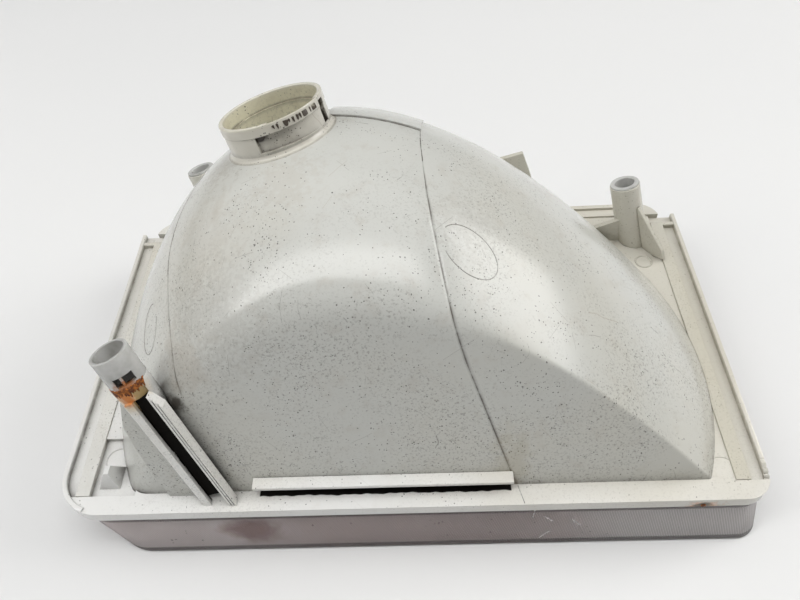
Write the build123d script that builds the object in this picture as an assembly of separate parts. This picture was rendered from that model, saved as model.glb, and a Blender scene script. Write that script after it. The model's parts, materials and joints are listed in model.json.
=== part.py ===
# Car headlight assembly: a moulded housing with its reflector bowl, bulb collar and aiming towers,
# closed by a clear lens. The lamp lies on its lens: +Z points from the lens face to the collar, X runs
# across the car, and Y runs from the lamp's top edge (-Y) to its bottom edge (+Y). The origin is the
# middle of the lens face. The optical axis leans away from +Z, and the bowl, the collar, the towers
# and the lens walls all follow it.
import os
from math import radians, sqrt, tan

from build123d import *

# ---- driving dimensions, in millimetres and degrees ----
flange_width = 230.0
flange_depth = 135.0
side_end = 60.5
flange_radii = (15.0, 9.0, 2.0, 2.0)
lobe_inset = 6.5
lobe_radius = 9.0
lobe_front_radius = 1.0
lens_depth = 19.5
plate_thickness = 3.0
rim_height = 4.5
strip_depth = 6.4
ridge_inset = 6.2
ridge_width = 4.8
ridge_rise = 0.5
ridge_end = 56.0
channel_stop = 1.8
pocket_right = -89.0
pocket_rear = -40.0
rear_rail_rise = 0.8
rear_groove_reach = 96.0
rear_groove_sink = 0.4
rear_groove_front = 2.2
rear_groove_back = 1.9
side_wall = 1.6
side_wall_height = 5.2
lean_x = 14.6
lean_y = 14.5
bowl_wall = 2.4
coating_wall = 0.3
coating_focal_step = 0.1
vertex = (-36.0, 24.0, 103.0)
focal_outer = 29.1
focal_inner = 28.3
near_flat_y = -60.6
near_flat_lean = 16.7
far_flat_y = 60.0
far_flat_lean = 12.3
bowl_blend = 7.0
bowl_depth = 135.0
lens_reach_x = 113.2
lens_reach_y = 64.9
lens_middle_y = -1.0
lens_radii = (13.4, 7.4, 14.0, 14.0)
lens_taper_left = 7.2
lens_taper_right = 2.4
lens_edge = 1.0
lens_wall = 2.4
tongue_wall = 1.6
tongue_height = 1.5
tongue_inset = 0.4
groove_wall = 2.2
groove_depth = 1.9
groove_inset = 0.1
collar_outer = 17.0
collar_bore = 15.3
collar_rise = 8.0
collar_seat = -0.5
collar_foot = -6.0
track_x = (-3.0, 14.0)
track_z = (-0.4, 4.6)
track_depth = 1.0
right_slot_turn = -12.0
right_slot_half_width = 1.5
right_slot_z = (-1.2, 6.2)
left_slot_turn = -166.0
left_slot_half_width = 1.4
left_slot_z = (2.4, 6.2)
base_ring_outer = 18.2
base_ring_top = -0.9
bulb_hole = 12.0
tower_outer = 5.75
tower_bore = 4.7
tower_clearance = 1.2
left_tower = (-64.2, -58.3)
left_tower_lean = 17.4
left_tower_body = 49.5
left_tower_top = 60.0
left_slot_x = (0.9, 5.0)
left_slot_top = 45.0
narrow_rail_x = (-1.6, 0.9)
narrow_rail_y = (-6.7, -4.0)
wide_rail_x = (5.0, 8.8)
wide_rail_y = (-7.0, -0.8)
wide_rail_top = 46.5
rail_grooves = (6.0, 7.4)
rail_groove = (0.5, 0.4)
gusset_outline = ((-2, -12), (-2, 44), (-5, 44), (-9.5, 35.5), (-11.4, 23.5), (-12.4, 12), (-13, -12))
gusset_wall = 1.8
gusset_y = 1.5
cup_floor = 54.5
cup_floor_wall = 1.2
cup_drain = 2.2
leg_turns = (-62.0, 60.0, 180.0)
window_half_width = 2.9
window_low = 1.2
window_high = 0.6
spigot_length = 5.0
spigot_bore = 3.6
right_tower = (94.7, 47.4)
right_tower_top = 25.7
right_gusset_outline = ((0, -4), (0, 17), (6.4, 17), (16.5, 0), (16.5, -4))
right_gusset_wall = 1.6
right_gusset_turn = -59.0
long_rib_outline = ((-30, 0), (-30, 1.5), (-4, 13), (0, 13), (0, 0))
long_rib_wall = 1.8
short_rib_wall = 2.0
short_rib_height = 4.0
rear_tower = (-74.0, 58.0)
rear_tower_top = 32.6
sleeve_bore = 3.7
sleeve_length = 10.0
sleeve_lip = 0.8
sleeve_lip_inset = 0.3
tab_place = (52.0, 64.0)
tab_outline = ((-18, -6), (-18, 24), (-13, 29), (5.2, 29), (6.4, 18), (6.4, -6))
tab_wall = 2.4
ledge_x = (-49.0, 33.8)
ledge_reach = 2.2
ledge_rise = 4.4
ledge_wall = 1.6
wedge_place = (-98.6, -54.0)
wedge_base = (7.0, 8.0)
wedge_tip = (1.6, 3.0)
wedge_rise = 6.0
pin_radius = 0.8
pin_x = 93.0
pin_length = 6.4
pin_rise = 0.9
pin_proud = 0.3

# ---- places worked out from them ----
plate_top = lens_depth + plate_thickness
rim_top = lens_depth + rim_height
half_width = flange_width / 2
half_depth = flange_depth / 2
strip_back = strip_depth - half_depth
ridge_outside = half_width - ridge_inset
ridge_inside = ridge_outside - ridge_width
lamp_axis = Vector(-tan(radians(lean_x)), tan(radians(lean_y)), 1).normalized()
left_axis = Vector(-tan(radians(left_tower_lean)), tan(radians(lean_y)), 1).normalized()
shift_x = lamp_axis.X / lamp_axis.Z
shift_y = lamp_axis.Y / lamp_axis.Z
lens_front_y = lens_middle_y - lens_reach_y
lens_rear_y = lens_middle_y + lens_reach_y
far_away = 300.0


# ---- shared shapes ----
def slab(low, high):
    # Box between two opposite corners.
    size = [b - a for a, b in zip(low, high)]
    middle = [(a + b) / 2 for a, b in zip(low, high)]
    return Pos(*middle) * Box(*size)


def above(z):
    return slab((-far_away, -far_away, z), (far_away, far_away, far_away))


def along_axis(x, y, z, axis=lamp_axis):
    # Plane at a point, facing up an axis, with its own X across the car.
    across = Vector(1, 0, 0) - axis * axis.X
    return Plane(origin=(x, y, z), x_dir=across, z_dir=axis)


def axis_slab(place, low, high, axis=lamp_axis):
    return along_axis(*place, axis) * slab(low, high)


def axis_cylinder(place, radius, start, end, axis=lamp_axis):
    rod = Cylinder(radius, end - start, align=(Align.CENTER, Align.CENTER, Align.MIN))
    return along_axis(*place, axis) * Pos(0, 0, start) * rod


def rounded_plate(low, high, radii, z_low, z_high):
    # Plate with its own radius at the front left, front right, rear right and rear left corner.
    plate = slab((*low, z_low), (*high, z_high))
    corners = [low, (high[0], low[1]), high, (low[0], high[1])]
    for (x, y), radius in zip(corners, radii):
        edge = plate.edges().filter_by(Axis.Z).sort_by_distance((x, y, (z_low + z_high) / 2))[0]
        plate = fillet(edge, radius)
    return plate


def flange_plan(inset, z_low, z_high):
    # The flange seen from above: a main rectangle, and a rear strip between two rounded lobes.
    front_left, front_right, rear_right, rear_left = flange_radii
    main = rounded_plate(
        (inset - half_width, inset - half_depth), (half_width - inset, side_end - inset),
        (front_left - inset, front_right - inset, rear_right, rear_left), z_low, z_high)
    lobe_x = half_width - lobe_inset - inset
    lobe_radii = (lobe_front_radius, lobe_front_radius, lobe_radius - inset, lobe_radius - inset)
    rear = rounded_plate((-lobe_x, 0), (lobe_x, half_depth - inset), lobe_radii, z_low, z_high)
    return main + rear


def lens_plan(inset, z_low, z_high):
    # Vertical plate of the lens outline at the joint.
    return rounded_plate(
        (inset - lens_reach_x, inset + lens_front_y), (lens_reach_x - inset, lens_rear_y - inset),
        [radius - inset for radius in lens_radii], z_low, z_high)


def lens_section(inset, z):
    # The lens outline at a height: it follows the lamp axis and narrows towards the lens face.
    fall = lens_depth - z
    left_taper = lens_taper_left * fall / lens_depth
    right_taper = lens_taper_right * fall / lens_depth
    reach_x = lens_reach_x - inset - (left_taper + right_taper) / 2
    reach_y = lens_reach_y - inset
    x = (left_taper - right_taper) / 2 - shift_x * fall
    y = lens_middle_y - shift_y * fall
    plate = rounded_plate(
        (x - reach_x, y - reach_y), (x + reach_x, y + reach_y),
        [radius - inset for radius in lens_radii], z, z + 1)
    return plate.faces().sort_by(Axis.Z)[0]


def lens_block(inset, z_low):
    return loft([lens_section(inset, z_low), lens_section(inset, lens_depth)])


# ---- bowl ----
def paraboloid(focal, drop):
    # Solid paraboloid about the lamp axis, its vertex below the bowl's own by drop.
    rim = sqrt(4 * focal * bowl_depth)
    with BuildSketch(Plane.XZ) as half:
        with BuildLine():
            Bezier((0, 0), (rim / 2, 0), (rim, -bowl_depth))
            Line((rim, -bowl_depth), (0, -bowl_depth))
            Line((0, -bowl_depth), (0, 0))
        make_face()
    dome = revolve(half.sketch, Axis.Z)
    return along_axis(*vertex) * Pos(0, 0, -drop) * dome


def between_flats(inset):
    # Everything between the near and the far flat, each moved inwards by inset.
    block = Box(2 * far_away, 2 * far_away, far_away, align=(Align.CENTER, Align.CENTER, Align.MIN))
    near = Plane(
        origin=(0, near_flat_y, rim_top), x_dir=(1, 0, 0), z_dir=(0, 1, -tan(radians(near_flat_lean))))
    far = Plane(
        origin=(0, far_flat_y, rim_top), x_dir=(1, 0, 0), z_dir=(0, -1, tan(radians(far_flat_lean))))
    return (near * Pos(0, 0, inset) * block) & (far * Pos(0, 0, inset) * block)


def bowl_solid(focal, inset, blend, bottom):
    # Paraboloid cut by both flats, with the edge along the near flat blended.
    body = paraboloid(focal, inset) & between_flats(inset)
    edges = [
        e for e in body.edges()
        if e.geom_type != GeomType.LINE and e.center().Z > rim_top and e.center().Y < 0]
    return fillet(edges, blend) & above(bottom)


def tower_rod(base, radius, axis=lamp_axis):
    return axis_cylinder((*base, rim_top), radius, -half_width, half_width, axis)


def tower_rods():
    # The space that the left and rear towers take through the bowl's wall.
    return tower_rod(left_tower, tower_outer, left_axis) + tower_rod(rear_tower, tower_outer)


def bulb_opening():
    return axis_cylinder(vertex, bulb_hole, -collar_outer, collar_outer)


def make_bowl():
    return bowl_outside - bowl_inside - bulb_opening() - tower_rods()


def make_coating():
    # Reflective skin on the inside of the bowl.
    inner = bowl_solid(
        focal_inner - coating_focal_step, bowl_wall + coating_wall,
        bowl_blend - bowl_wall - coating_wall, plate_top)
    return (bowl_inside & above(plate_top)) - inner - bulb_opening() - tower_rods()


# ---- flange ----
def joint_groove():
    # Groove in the flange's underside that takes the lens's tongue and the sealant round it.
    top = lens_depth + groove_depth
    groove = lens_plan(groove_inset, lens_depth, top)
    return groove - lens_plan(groove_inset + groove_wall, lens_depth, top)


def make_flange():
    plate = flange_plan(0, lens_depth, plate_top)
    front = flange_plan(0, plate_top, rim_top) & slab(
        (-half_width, -half_depth, plate_top), (half_width, strip_back, rim_top))
    plateau = slab((-ridge_inside, strip_back, plate_top), (ridge_inside, side_end, rim_top))
    pocket = slab((-ridge_inside, strip_back, plate_top), (pocket_right, pocket_rear, rim_top))
    opening = bowl_solid(focal_inner, bowl_wall, bowl_blend - bowl_wall, lens_depth - 1)
    opening -= tower_rod(left_tower, tower_outer + tower_clearance, left_axis)
    opening -= tower_rod(rear_tower, tower_outer + tower_clearance)
    floors = tower_rods() & slab((-half_width, -half_depth, lens_depth), (0, half_depth, rim_top))
    whole = plate + front + plateau - pocket - opening - bowl_outside
    return whole + floors - joint_groove() - pin_rod()


def side_rail(side):
    # Thin wall along one end of the flange, following its outline round the front corner.
    tall = lens_depth + side_wall_height
    ring = flange_plan(0, plate_top, tall) - flange_plan(side_wall, plate_top, tall)
    ends = sorted((side * (ridge_inside + 1), side * half_width))
    reach = slab((ends[0], -half_depth, plate_top), (ends[1], side_end, tall))
    return (ring & reach) - flange


def side_ridge(side):
    # Ridge between the end channel and the bowl's plateau, with the wall that closes the channel.
    top = rim_top + ridge_rise
    ends = sorted((side * ridge_inside, side * ridge_outside))
    ridge = slab((ends[0], strip_back, plate_top), (ends[1], ridge_end, top))
    stop_ends = sorted((side * ridge_inside, side * (half_width - side_wall)))
    stop = slab((stop_ends[0], ridge_end - channel_stop, plate_top), (stop_ends[1], ridge_end, top))
    return ridge + stop - bowl_outside


def make_rear_rail():
    # Raised strip along the rear edge, with a groove along its top between the two lobes.
    tall = rim_top + rear_rail_rise
    strip = flange_plan(0, plate_top, tall) & slab(
        (-half_width, side_end, plate_top), (half_width, half_depth, tall))
    groove = slab(
        (-rear_groove_reach, side_end + rear_groove_front, rim_top - rear_groove_sink),
        (rear_groove_reach, half_depth - rear_groove_back, tall))
    return strip - groove - bowl_outside - tower_rods() - tab_space()


# ---- lens ----
def pin_rod():
    rod = Cylinder(pin_radius, pin_length, align=(Align.CENTER, Align.CENTER, Align.MIN))
    place = Plane(
        origin=(pin_x, -half_depth - pin_proud, lens_depth + pin_rise), x_dir=(1, 0, 0), z_dir=(0, 1, 0))
    return place * rod


def make_lens():
    block = lens_block(0, 0)
    block = fillet(block.faces().sort_by(Axis.Z)[0].edges(), lens_edge)
    box = block - lens_block(lens_wall, lens_wall)
    tongue = lens_plan(tongue_inset, lens_depth, lens_depth + tongue_height)
    tongue -= lens_plan(tongue_inset + tongue_wall, lens_depth, lens_depth + tongue_height)
    return box + tongue - pin_rod()


def make_sealant():
    return joint_groove() - lens - pin_rod()


# ---- bulb collar ----
def collar_slot(turn, half_width, heights):
    # Slot right through the collar's wall, at an angle round the lamp axis.
    cut = slab((bulb_hole, -half_width, heights[0]), (base_ring_outer, half_width, heights[1]))
    return along_axis(*vertex) * (Rot(0, 0, turn) * cut)


def make_collar():
    # Tube with a flat seat for the bulb at the bottom of its bore, and a track cut into its outside.
    tube = axis_cylinder(vertex, collar_outer, collar_foot, collar_rise)
    tube -= axis_cylinder(vertex, collar_bore, collar_seat, collar_rise)
    track = axis_slab(vertex, (track_x[0], -collar_outer, track_z[0]), (track_x[1], 0, track_z[1]))
    track -= axis_cylinder(vertex, collar_outer - track_depth, collar_foot, collar_rise)
    tube -= collar_slot(right_slot_turn, right_slot_half_width, right_slot_z)
    tube -= collar_slot(left_slot_turn, left_slot_half_width, left_slot_z)
    return tube - track - bulb_opening() - bowl_outside


def make_base_ring():
    ring = axis_cylinder(vertex, base_ring_outer, collar_foot, base_ring_top)
    return ring - axis_cylinder(vertex, collar_outer, collar_foot, 0) - bowl_outside


# ---- aiming towers ----
def upright_plate(outline, wall):
    # Plate of an outline in X and Z, with its thickness towards -Y.
    with BuildSketch(Plane.XZ) as sketch:
        with BuildLine():
            Polyline(*outline, outline[0])
        make_face()
    return extrude(sketch.sketch, wall)


def tower_tube(base, top, axis=lamp_axis):
    place = (*base, rim_top)
    tube = axis_cylinder(place, tower_outer, -tower_outer, top, axis)
    tube -= axis_cylinder(place, tower_bore, -tower_outer, top, axis)
    return tube & above(rim_top)


def make_left_tower():
    slot = axis_slab(
        (*left_tower, rim_top), (left_slot_x[0], -tower_outer, -tower_outer),
        (left_slot_x[1], 0, left_slot_top), left_axis)
    return tower_tube(left_tower, left_tower_body, left_axis) - slot


def make_left_rails():
    # Two rails, one each side of the slot. The wider one has two grooves down its face.
    place = (*left_tower, rim_top)
    foot = -tower_outer
    narrow = axis_slab(
        place, (narrow_rail_x[0], narrow_rail_y[0], foot),
        (narrow_rail_x[1], narrow_rail_y[1], left_slot_top), left_axis)
    wide = axis_slab(
        place, (wide_rail_x[0], wide_rail_y[0], foot), (wide_rail_x[1], wide_rail_y[1], wide_rail_top),
        left_axis)
    width, depth = rail_groove
    for x in rail_grooves:
        wide -= axis_slab(
            place, (x, wide_rail_y[0], foot), (x + width, wide_rail_y[0] + depth, wide_rail_top),
            left_axis)
    rails = (narrow + wide) - tower_rod(left_tower, tower_outer, left_axis)
    return (rails & above(rim_top)) - bowl_outside


def make_left_gusset():
    web = Pos(0, -gusset_y, 0) * upright_plate(gusset_outline, gusset_wall)
    plate = along_axis(*left_tower, rim_top, left_axis) * web
    core = tower_rod(left_tower, tower_outer, left_axis)
    return (plate & above(rim_top)) - core - bowl_outside - rails_left


def make_left_socket():
    # Cup standing on three legs above the tower, with a spigot that plugs into the tower's bore.
    def rod(radius, start, end):
        return axis_cylinder((*left_tower, rim_top), radius, start, end, left_axis)

    cup = rod(tower_outer, cup_floor, left_tower_top)
    cup -= rod(tower_bore, cup_floor + cup_floor_wall, left_tower_top)
    skirt = rod(tower_outer, left_tower_body, cup_floor) - rod(tower_bore, left_tower_body, cup_floor)
    low, high = left_tower_body + window_low, cup_floor - window_high
    for turn in leg_turns:
        window = slab((0, -window_half_width, low), (tower_outer, window_half_width, high))
        skirt -= along_axis(*left_tower, rim_top, left_axis) * (Rot(0, 0, turn) * window)
    spigot_foot = left_tower_body - spigot_length
    spigot = rod(tower_bore, spigot_foot, low)
    hole = rod(spigot_bore, spigot_foot, cup_floor) + rod(cup_drain, spigot_foot, left_tower_top)
    return cup + skirt + spigot - hole


def sleeve_socket(base, top):
    # Sleeve pressed into a tower's mouth, with a flat lip on the tower's end.
    place = (*base, rim_top)
    sleeve = axis_cylinder(place, tower_bore, top - sleeve_length, top)
    lip = axis_cylinder(place, tower_outer - sleeve_lip_inset, top, top + sleeve_lip)
    return sleeve + lip - axis_cylinder(place, sleeve_bore, 0, top + tower_outer)


def make_right_gusset():
    # Triangular web from the right tower down to the plateau, towards the front corner.
    web = Pos(0, right_gusset_wall / 2, 0) * upright_plate(right_gusset_outline, right_gusset_wall)
    plate = along_axis(*right_tower, rim_top) * (Rot(0, 0, right_gusset_turn) * web)
    return (plate & above(rim_top)) - tower_rod(right_tower, tower_outer) - bowl_outside


def make_right_ribs():
    # Sloping rib from the bowl to the tower, and a low rib from the tower to the rear strip.
    x, y = right_tower
    long_rib = Pos(x, y + long_rib_wall / 2, rim_top) * upright_plate(long_rib_outline, long_rib_wall)
    half = short_rib_wall / 2
    short_rib = slab((x - half, y, rim_top), (x + half, side_end, rim_top + short_rib_height))
    return long_rib + short_rib - tower_rod(right_tower, tower_outer) - bowl_outside


# ---- small moulded features ----
def tab_plate():
    plate = Pos(0, tab_wall / 2, 0) * upright_plate(tab_outline, tab_wall)
    return along_axis(*tab_place, rim_top) * plate


def tab_space():
    return tab_plate() & above(plate_top)


def make_ledge():
    low = rim_top + ledge_rise
    bar = slab((ledge_x[0], near_flat_y - ledge_reach, low), (ledge_x[1], 0, low + ledge_wall))
    return bar - bowl_outside


def make_corner_wedge():
    with BuildSketch(Plane.XY.offset(plate_top)) as base:
        Rectangle(*wedge_base)
    with BuildSketch(Plane.XY.offset(plate_top + wedge_rise)) as tip:
        Rectangle(*wedge_tip)
    wedge = loft([base.sketch.face(), tip.sketch.face()])
    return Pos(*wedge_place, 0) * wedge - bowl_outside


bowl_outside = bowl_solid(focal_outer, 0, bowl_blend, plate_top)
bowl_inside = bowl_solid(focal_inner, bowl_wall, bowl_blend - bowl_wall, plate_top - 5)
flange = make_flange()
lens = make_lens()
rails_left = make_left_rails()

nodes = {
    "reflector_bowl": make_bowl(),
    "reflector_coating": make_coating(),
    "mounting_flange": flange,
    "left_side_rail": side_rail(-1),
    "right_side_rail": side_rail(1),
    "left_side_ridge": side_ridge(-1),
    "right_side_ridge": side_ridge(1),
    "rear_flange_rail": make_rear_rail(),
    "outer_lens": lens,
    "lens_sealant": make_sealant(),
    "lens_retaining_pin": pin_rod(),
    "bulb_collar": make_collar(),
    "collar_base_ring": make_base_ring(),
    "left_aim_tower": make_left_tower(),
    "left_tower_rails": rails_left,
    "left_tower_gusset": make_left_gusset(),
    "left_aim_socket": make_left_socket(),
    "right_aim_tower": tower_tube(right_tower, right_tower_top),
    "right_aim_socket": sleeve_socket(right_tower, right_tower_top),
    "right_tower_gusset": make_right_gusset(),
    "right_tower_ribs": make_right_ribs(),
    "rear_pivot_tower": tower_tube(rear_tower, rear_tower_top),
    "rear_pivot_socket": sleeve_socket(rear_tower, rear_tower_top),
    "rear_bracket_tab": tab_space(),
    "front_ledge": make_ledge(),
    "corner_wedge": make_corner_wedge(),
}

os.makedirs("parts", exist_ok=True)
for name, shape in nodes.items():
    export_step(shape, f"parts/{name}.step")
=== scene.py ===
import json
import math
import bmesh
import bpy
import numpy as np
from mathutils import Matrix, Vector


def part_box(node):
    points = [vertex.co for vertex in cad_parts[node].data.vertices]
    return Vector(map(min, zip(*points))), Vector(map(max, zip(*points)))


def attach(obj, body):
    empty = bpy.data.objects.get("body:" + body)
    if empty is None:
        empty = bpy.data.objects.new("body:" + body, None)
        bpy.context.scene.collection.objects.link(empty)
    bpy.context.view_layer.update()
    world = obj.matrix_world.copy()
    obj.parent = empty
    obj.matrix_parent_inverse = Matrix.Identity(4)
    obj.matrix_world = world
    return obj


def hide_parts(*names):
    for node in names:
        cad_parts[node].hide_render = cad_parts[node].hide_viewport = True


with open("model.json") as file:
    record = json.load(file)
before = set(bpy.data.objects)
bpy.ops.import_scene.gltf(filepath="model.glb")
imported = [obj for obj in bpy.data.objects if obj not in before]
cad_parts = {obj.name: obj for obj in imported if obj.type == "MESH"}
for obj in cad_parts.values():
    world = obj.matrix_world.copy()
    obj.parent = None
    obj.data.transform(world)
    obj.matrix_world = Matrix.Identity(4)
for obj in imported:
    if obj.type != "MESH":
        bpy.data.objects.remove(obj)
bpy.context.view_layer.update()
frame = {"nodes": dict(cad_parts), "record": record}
record = frame["record"]
mm = 0.001
print("frame loaded:", len(frame["nodes"]), "nodes")


mounts = {m["name"]: m for m in record["mounts"]}


def mountAxes(mountName):
    # A mount's own directions: across, level with the lamp's width; along; and up its axis.
    up = np.array(mounts[mountName]["axis"], float)
    up /= np.linalg.norm(up)
    side = np.array([1.0, 0.0, 0.0]) - up * up[0]
    side /= np.linalg.norm(side)
    return side, np.cross(up, side), up


lampFrame = mountAxes("bulb_socket")
leftFrame = mountAxes("left_aim_bore")
across, along, lampAxis = lampFrame
bulbMountRise = 4 * mm  # height of the bulb's mount above the bowl's vertex
vertex = np.array(mounts["bulb_socket"]["pos_m"], float) - bulbMountRise * lampAxis
flangeLow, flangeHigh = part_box("mounting_flange")
rimTop = flangeHigh.z
plateTop = rimTop - 1.5 * mm
jointHeight = flangeLow.z


def towerBase(mountName, reach, axes):
    # Foot of a tower on the flange: the mount's place, moved back down the tower's axis.
    return np.array(mounts[mountName]["pos_m"], float) - reach * mm * axes[2]


leftTower = towerBase("left_aim_bore", 58, leftFrame)
rearTower = towerBase("rear_pivot_bore", 29, lampFrame)


def place(origin, x, y, z, axes=lampFrame):
    # Point at x across, y along and z up an axis from an origin, for whole arrays.
    x, y, z = np.broadcast_arrays(x, y, z)
    return origin + x[..., None] * axes[0] + y[..., None] * axes[1] + z[..., None] * axes[2]


camera = {
    "place": (8.95 * mm, -160.1 * mm, 234.8 * mm),
    "pitch": 49.7,
    "yaw": -3.53,
    "roll": -4.78,
    "lens": 31.5,
}


def makeCamera(values):
    pitch, yaw, roll = (math.radians(values[k]) for k in ("pitch", "yaw", "roll"))
    forward = np.array([
        math.sin(yaw) * math.cos(pitch), math.cos(yaw) * math.cos(pitch), -math.sin(pitch)])
    level = np.array([math.cos(yaw), -math.sin(yaw), 0.0])
    side = level * math.cos(roll) + np.cross(level, forward) * math.sin(roll)
    matrix = np.eye(4)
    matrix[:3, 0] = side
    matrix[:3, 1] = np.cross(side, forward)
    matrix[:3, 2] = -forward
    matrix[:3, 3] = values["place"]
    data = bpy.data.cameras.new("camera")
    data.lens = values["lens"]
    data.sensor_width = 36
    data.clip_start = 0.01
    made = bpy.data.objects.new("camera", data)
    made.matrix_world = Matrix(matrix.tolist())
    bpy.context.scene.collection.objects.link(made)
    bpy.context.scene.camera = made


makeCamera(camera)


def gridFaces(rows, columns, closedRows, closedColumns):
    # Quads of a grid of points, with either direction closed on itself.
    i = np.arange(rows if closedRows else rows - 1)[:, None]
    j = np.arange(columns if closedColumns else columns - 1)[None, :]
    nextI, nextJ = (i + 1) % rows, (j + 1) % columns
    quads = np.stack([
        i * columns + j, i * columns + nextJ, nextI * columns + nextJ, nextI * columns + j], -1)
    return quads.reshape(-1, 4)


def makePiece(name, points, faces, material, slotName, replaced=(), sharpAngle=None, marks=None):
    mesh = bpy.data.meshes.new(name)
    mesh.from_pydata(points.reshape(-1, 3), [], faces)
    mesh.update()
    for markName, values in (marks or {}).items():
        layer = mesh.attributes.new(markName, "FLOAT", "POINT")
        layer.data.foreach_set("value", np.asarray(values, np.float32).ravel())
    return finishPiece(name, mesh, material, replaced, sharpAngle)


def finishPiece(name, mesh, material, replaced, sharpAngle):
    mesh.shade_smooth()
    if sharpAngle:
        mesh.set_sharp_from_angle(angle=math.radians(sharpAngle))
    mesh.materials.clear()
    mesh.materials.append(material)
    made = bpy.data.objects.new(name, mesh)
    bpy.context.scene.collection.objects.link(made)
    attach(made, "root")
    if replaced:
        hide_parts(*replaced)
    return made


def gridPiece(name, points, closedRows, closedColumns, material, slotName, **rest):
    faces = gridFaces(points.shape[0], points.shape[1], closedRows, closedColumns)
    return makePiece(name, points, faces, material, slotName, **rest)


def rodPiece(name, points, material, slotName, **rest):
    # Closed rod: one ring of points to a row, and a cap on each end.
    rows, columns = points.shape[:2]
    last = (rows - 1) * columns
    faces = gridFaces(rows, columns, False, True).tolist()
    faces += [list(range(columns - 1, -1, -1)), list(range(last, last + columns))]
    return outward(makePiece(name, points, faces, material, slotName, **rest))


def outward(made):
    # Turns a closed mesh's faces outwards.
    work = bmesh.new()
    work.from_mesh(made.data)
    bmesh.ops.recalc_face_normals(work, faces=work.faces)
    work.to_mesh(made.data)
    work.free()
    return made


def softened(nodeName, pieceName, width, material, darken=None, reshape=None):
    # A copy of a CAD node with its sharp edges rounded as a mould leaves them.
    mesh = frame["nodes"][nodeName].data.copy()
    work = bmesh.new()
    work.from_mesh(mesh)
    bmesh.ops.remove_doubles(work, verts=work.verts, dist=2e-6)
    bmesh.ops.dissolve_limit(work, angle_limit=math.radians(0.6), verts=work.verts, edges=work.edges)
    work.to_mesh(mesh)
    work.free()
    mesh.name = pieceName
    points = np.empty(len(mesh.vertices) * 3, np.float32)
    mesh.vertices.foreach_get("co", points)
    points = points.reshape(-1, 3).astype(float)
    if reshape:
        mesh.vertices.foreach_set("co", reshape(points).astype(np.float32).ravel())
    if darken:
        layer = mesh.attributes.new("grimeAndShade", "FLOAT", "POINT")
        layer.data.foreach_set("value", darken(points).astype(np.float32))
    made = finishPiece(pieceName, mesh, material, (nodeName,), 40)
    bevel = made.modifiers.new("rounded edges", "BEVEL")
    bevel.width = width
    bevel.segments = 2
    bevel.limit_method = "ANGLE"
    bevel.angle_limit = math.radians(38)
    bevel.harden_normals = True
    return made


def addNode(tree, kind, **settings):
    node = tree.nodes.new(kind)
    for key, value in settings.items():
        setattr(node, key, value)
    return node


def feed(tree, socket, value):
    # Links a socket to another one, or sets its own value.
    if isinstance(value, bpy.types.NodeSocket):
        tree.links.new(value, socket)
    else:
        socket.default_value = value


def mathNode(tree, operation, a, b=0.0, clamp=False):
    node = addNode(tree, "ShaderNodeMath", operation=operation, use_clamp=clamp)
    feed(tree, node.inputs[0], a)
    feed(tree, node.inputs[1], b)
    return node.outputs[0]


def times(tree, a, b, **rest):
    return mathNode(tree, "MULTIPLY", a, b, **rest)


def plus(tree, a, b):
    return mathNode(tree, "ADD", a, b)


def vectorMath(tree, operation, *values):
    node = addNode(tree, "ShaderNodeVectorMath", operation=operation)
    for socket, value in zip(node.inputs, values):
        feed(tree, socket, value)
    return node.outputs["Value" if operation in ("LENGTH", "DOT_PRODUCT") else "Vector"]


def attributeNode(tree, name):
    return addNode(tree, "ShaderNodeAttribute", attribute_name=name).outputs["Fac"]


def lowDown(tree, vector, high, low):
    # One below the lower height, nothing above the higher one.
    heights = addNode(tree, "ShaderNodeSeparateXYZ")
    feed(tree, heights.inputs[0], vector)
    return smoothRange(tree, heights.outputs[2], high, low)


def wobbled(tree, vector, scale, amount):
    # Coordinates pushed about by noise.
    noise = addNode(tree, "ShaderNodeTexNoise")
    feed(tree, noise.inputs["Vector"], vector)
    feed(tree, noise.inputs["Scale"], scale)
    return vectorMath(tree, "MULTIPLY_ADD", noise.outputs["Color"], (amount, amount, amount), vector)


def cellNodes(tree, vector, scale):
    # Random cells: the texture node, and three random numbers for each cell.
    cells = addNode(tree, "ShaderNodeTexVoronoi", feature="F1")
    feed(tree, cells.inputs["Vector"], vector)
    feed(tree, cells.inputs["Scale"], scale)
    parts = addNode(tree, "ShaderNodeSeparateColor")
    feed(tree, parts.inputs[0], cells.outputs["Color"])
    return cells, parts.outputs


def mixTint(tree, factor, a, b):
    node = addNode(tree, "ShaderNodeMix", data_type="RGBA")
    feed(tree, node.inputs[0], factor)
    feed(tree, node.inputs[6], a)
    feed(tree, node.inputs[7], b)
    return node.outputs[2]


def smoothRange(tree, value, low, high):
    node = addNode(tree, "ShaderNodeMapRange", interpolation_type="SMOOTHSTEP")
    feed(tree, node.inputs["Value"], value)
    feed(tree, node.inputs["From Min"], low)
    feed(tree, node.inputs["From Max"], high)
    return node.outputs["Result"]


def noiseNode(tree, vector, scale, detail=3.0, roughness=0.5):
    node = addNode(tree, "ShaderNodeTexNoise")
    feed(tree, node.inputs["Vector"], vector)
    feed(tree, node.inputs["Scale"], scale)
    feed(tree, node.inputs["Detail"], detail)
    feed(tree, node.inputs["Roughness"], roughness)
    return node.outputs[0]


def newGroup(name, **inputs):
    # Node group that takes a Vector and the named inputs, of which a tuple is a vector, and gives one
    # number.
    tree = bpy.data.node_groups.new(name, "ShaderNodeTree")
    for key, value in {"Vector": (0, 0, 0), **inputs}.items():
        kind = "NodeSocketVector" if isinstance(value, tuple) else "NodeSocketFloat"
        tree.interface.new_socket(name=key, in_out="INPUT", socket_type=kind).default_value = value
    tree.interface.new_socket(name="Value", in_out="OUTPUT", socket_type="NodeSocketFloat")
    given = tree.nodes.new("NodeGroupInput").outputs
    return tree, given, tree.nodes.new("NodeGroupOutput").inputs[0]


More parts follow.
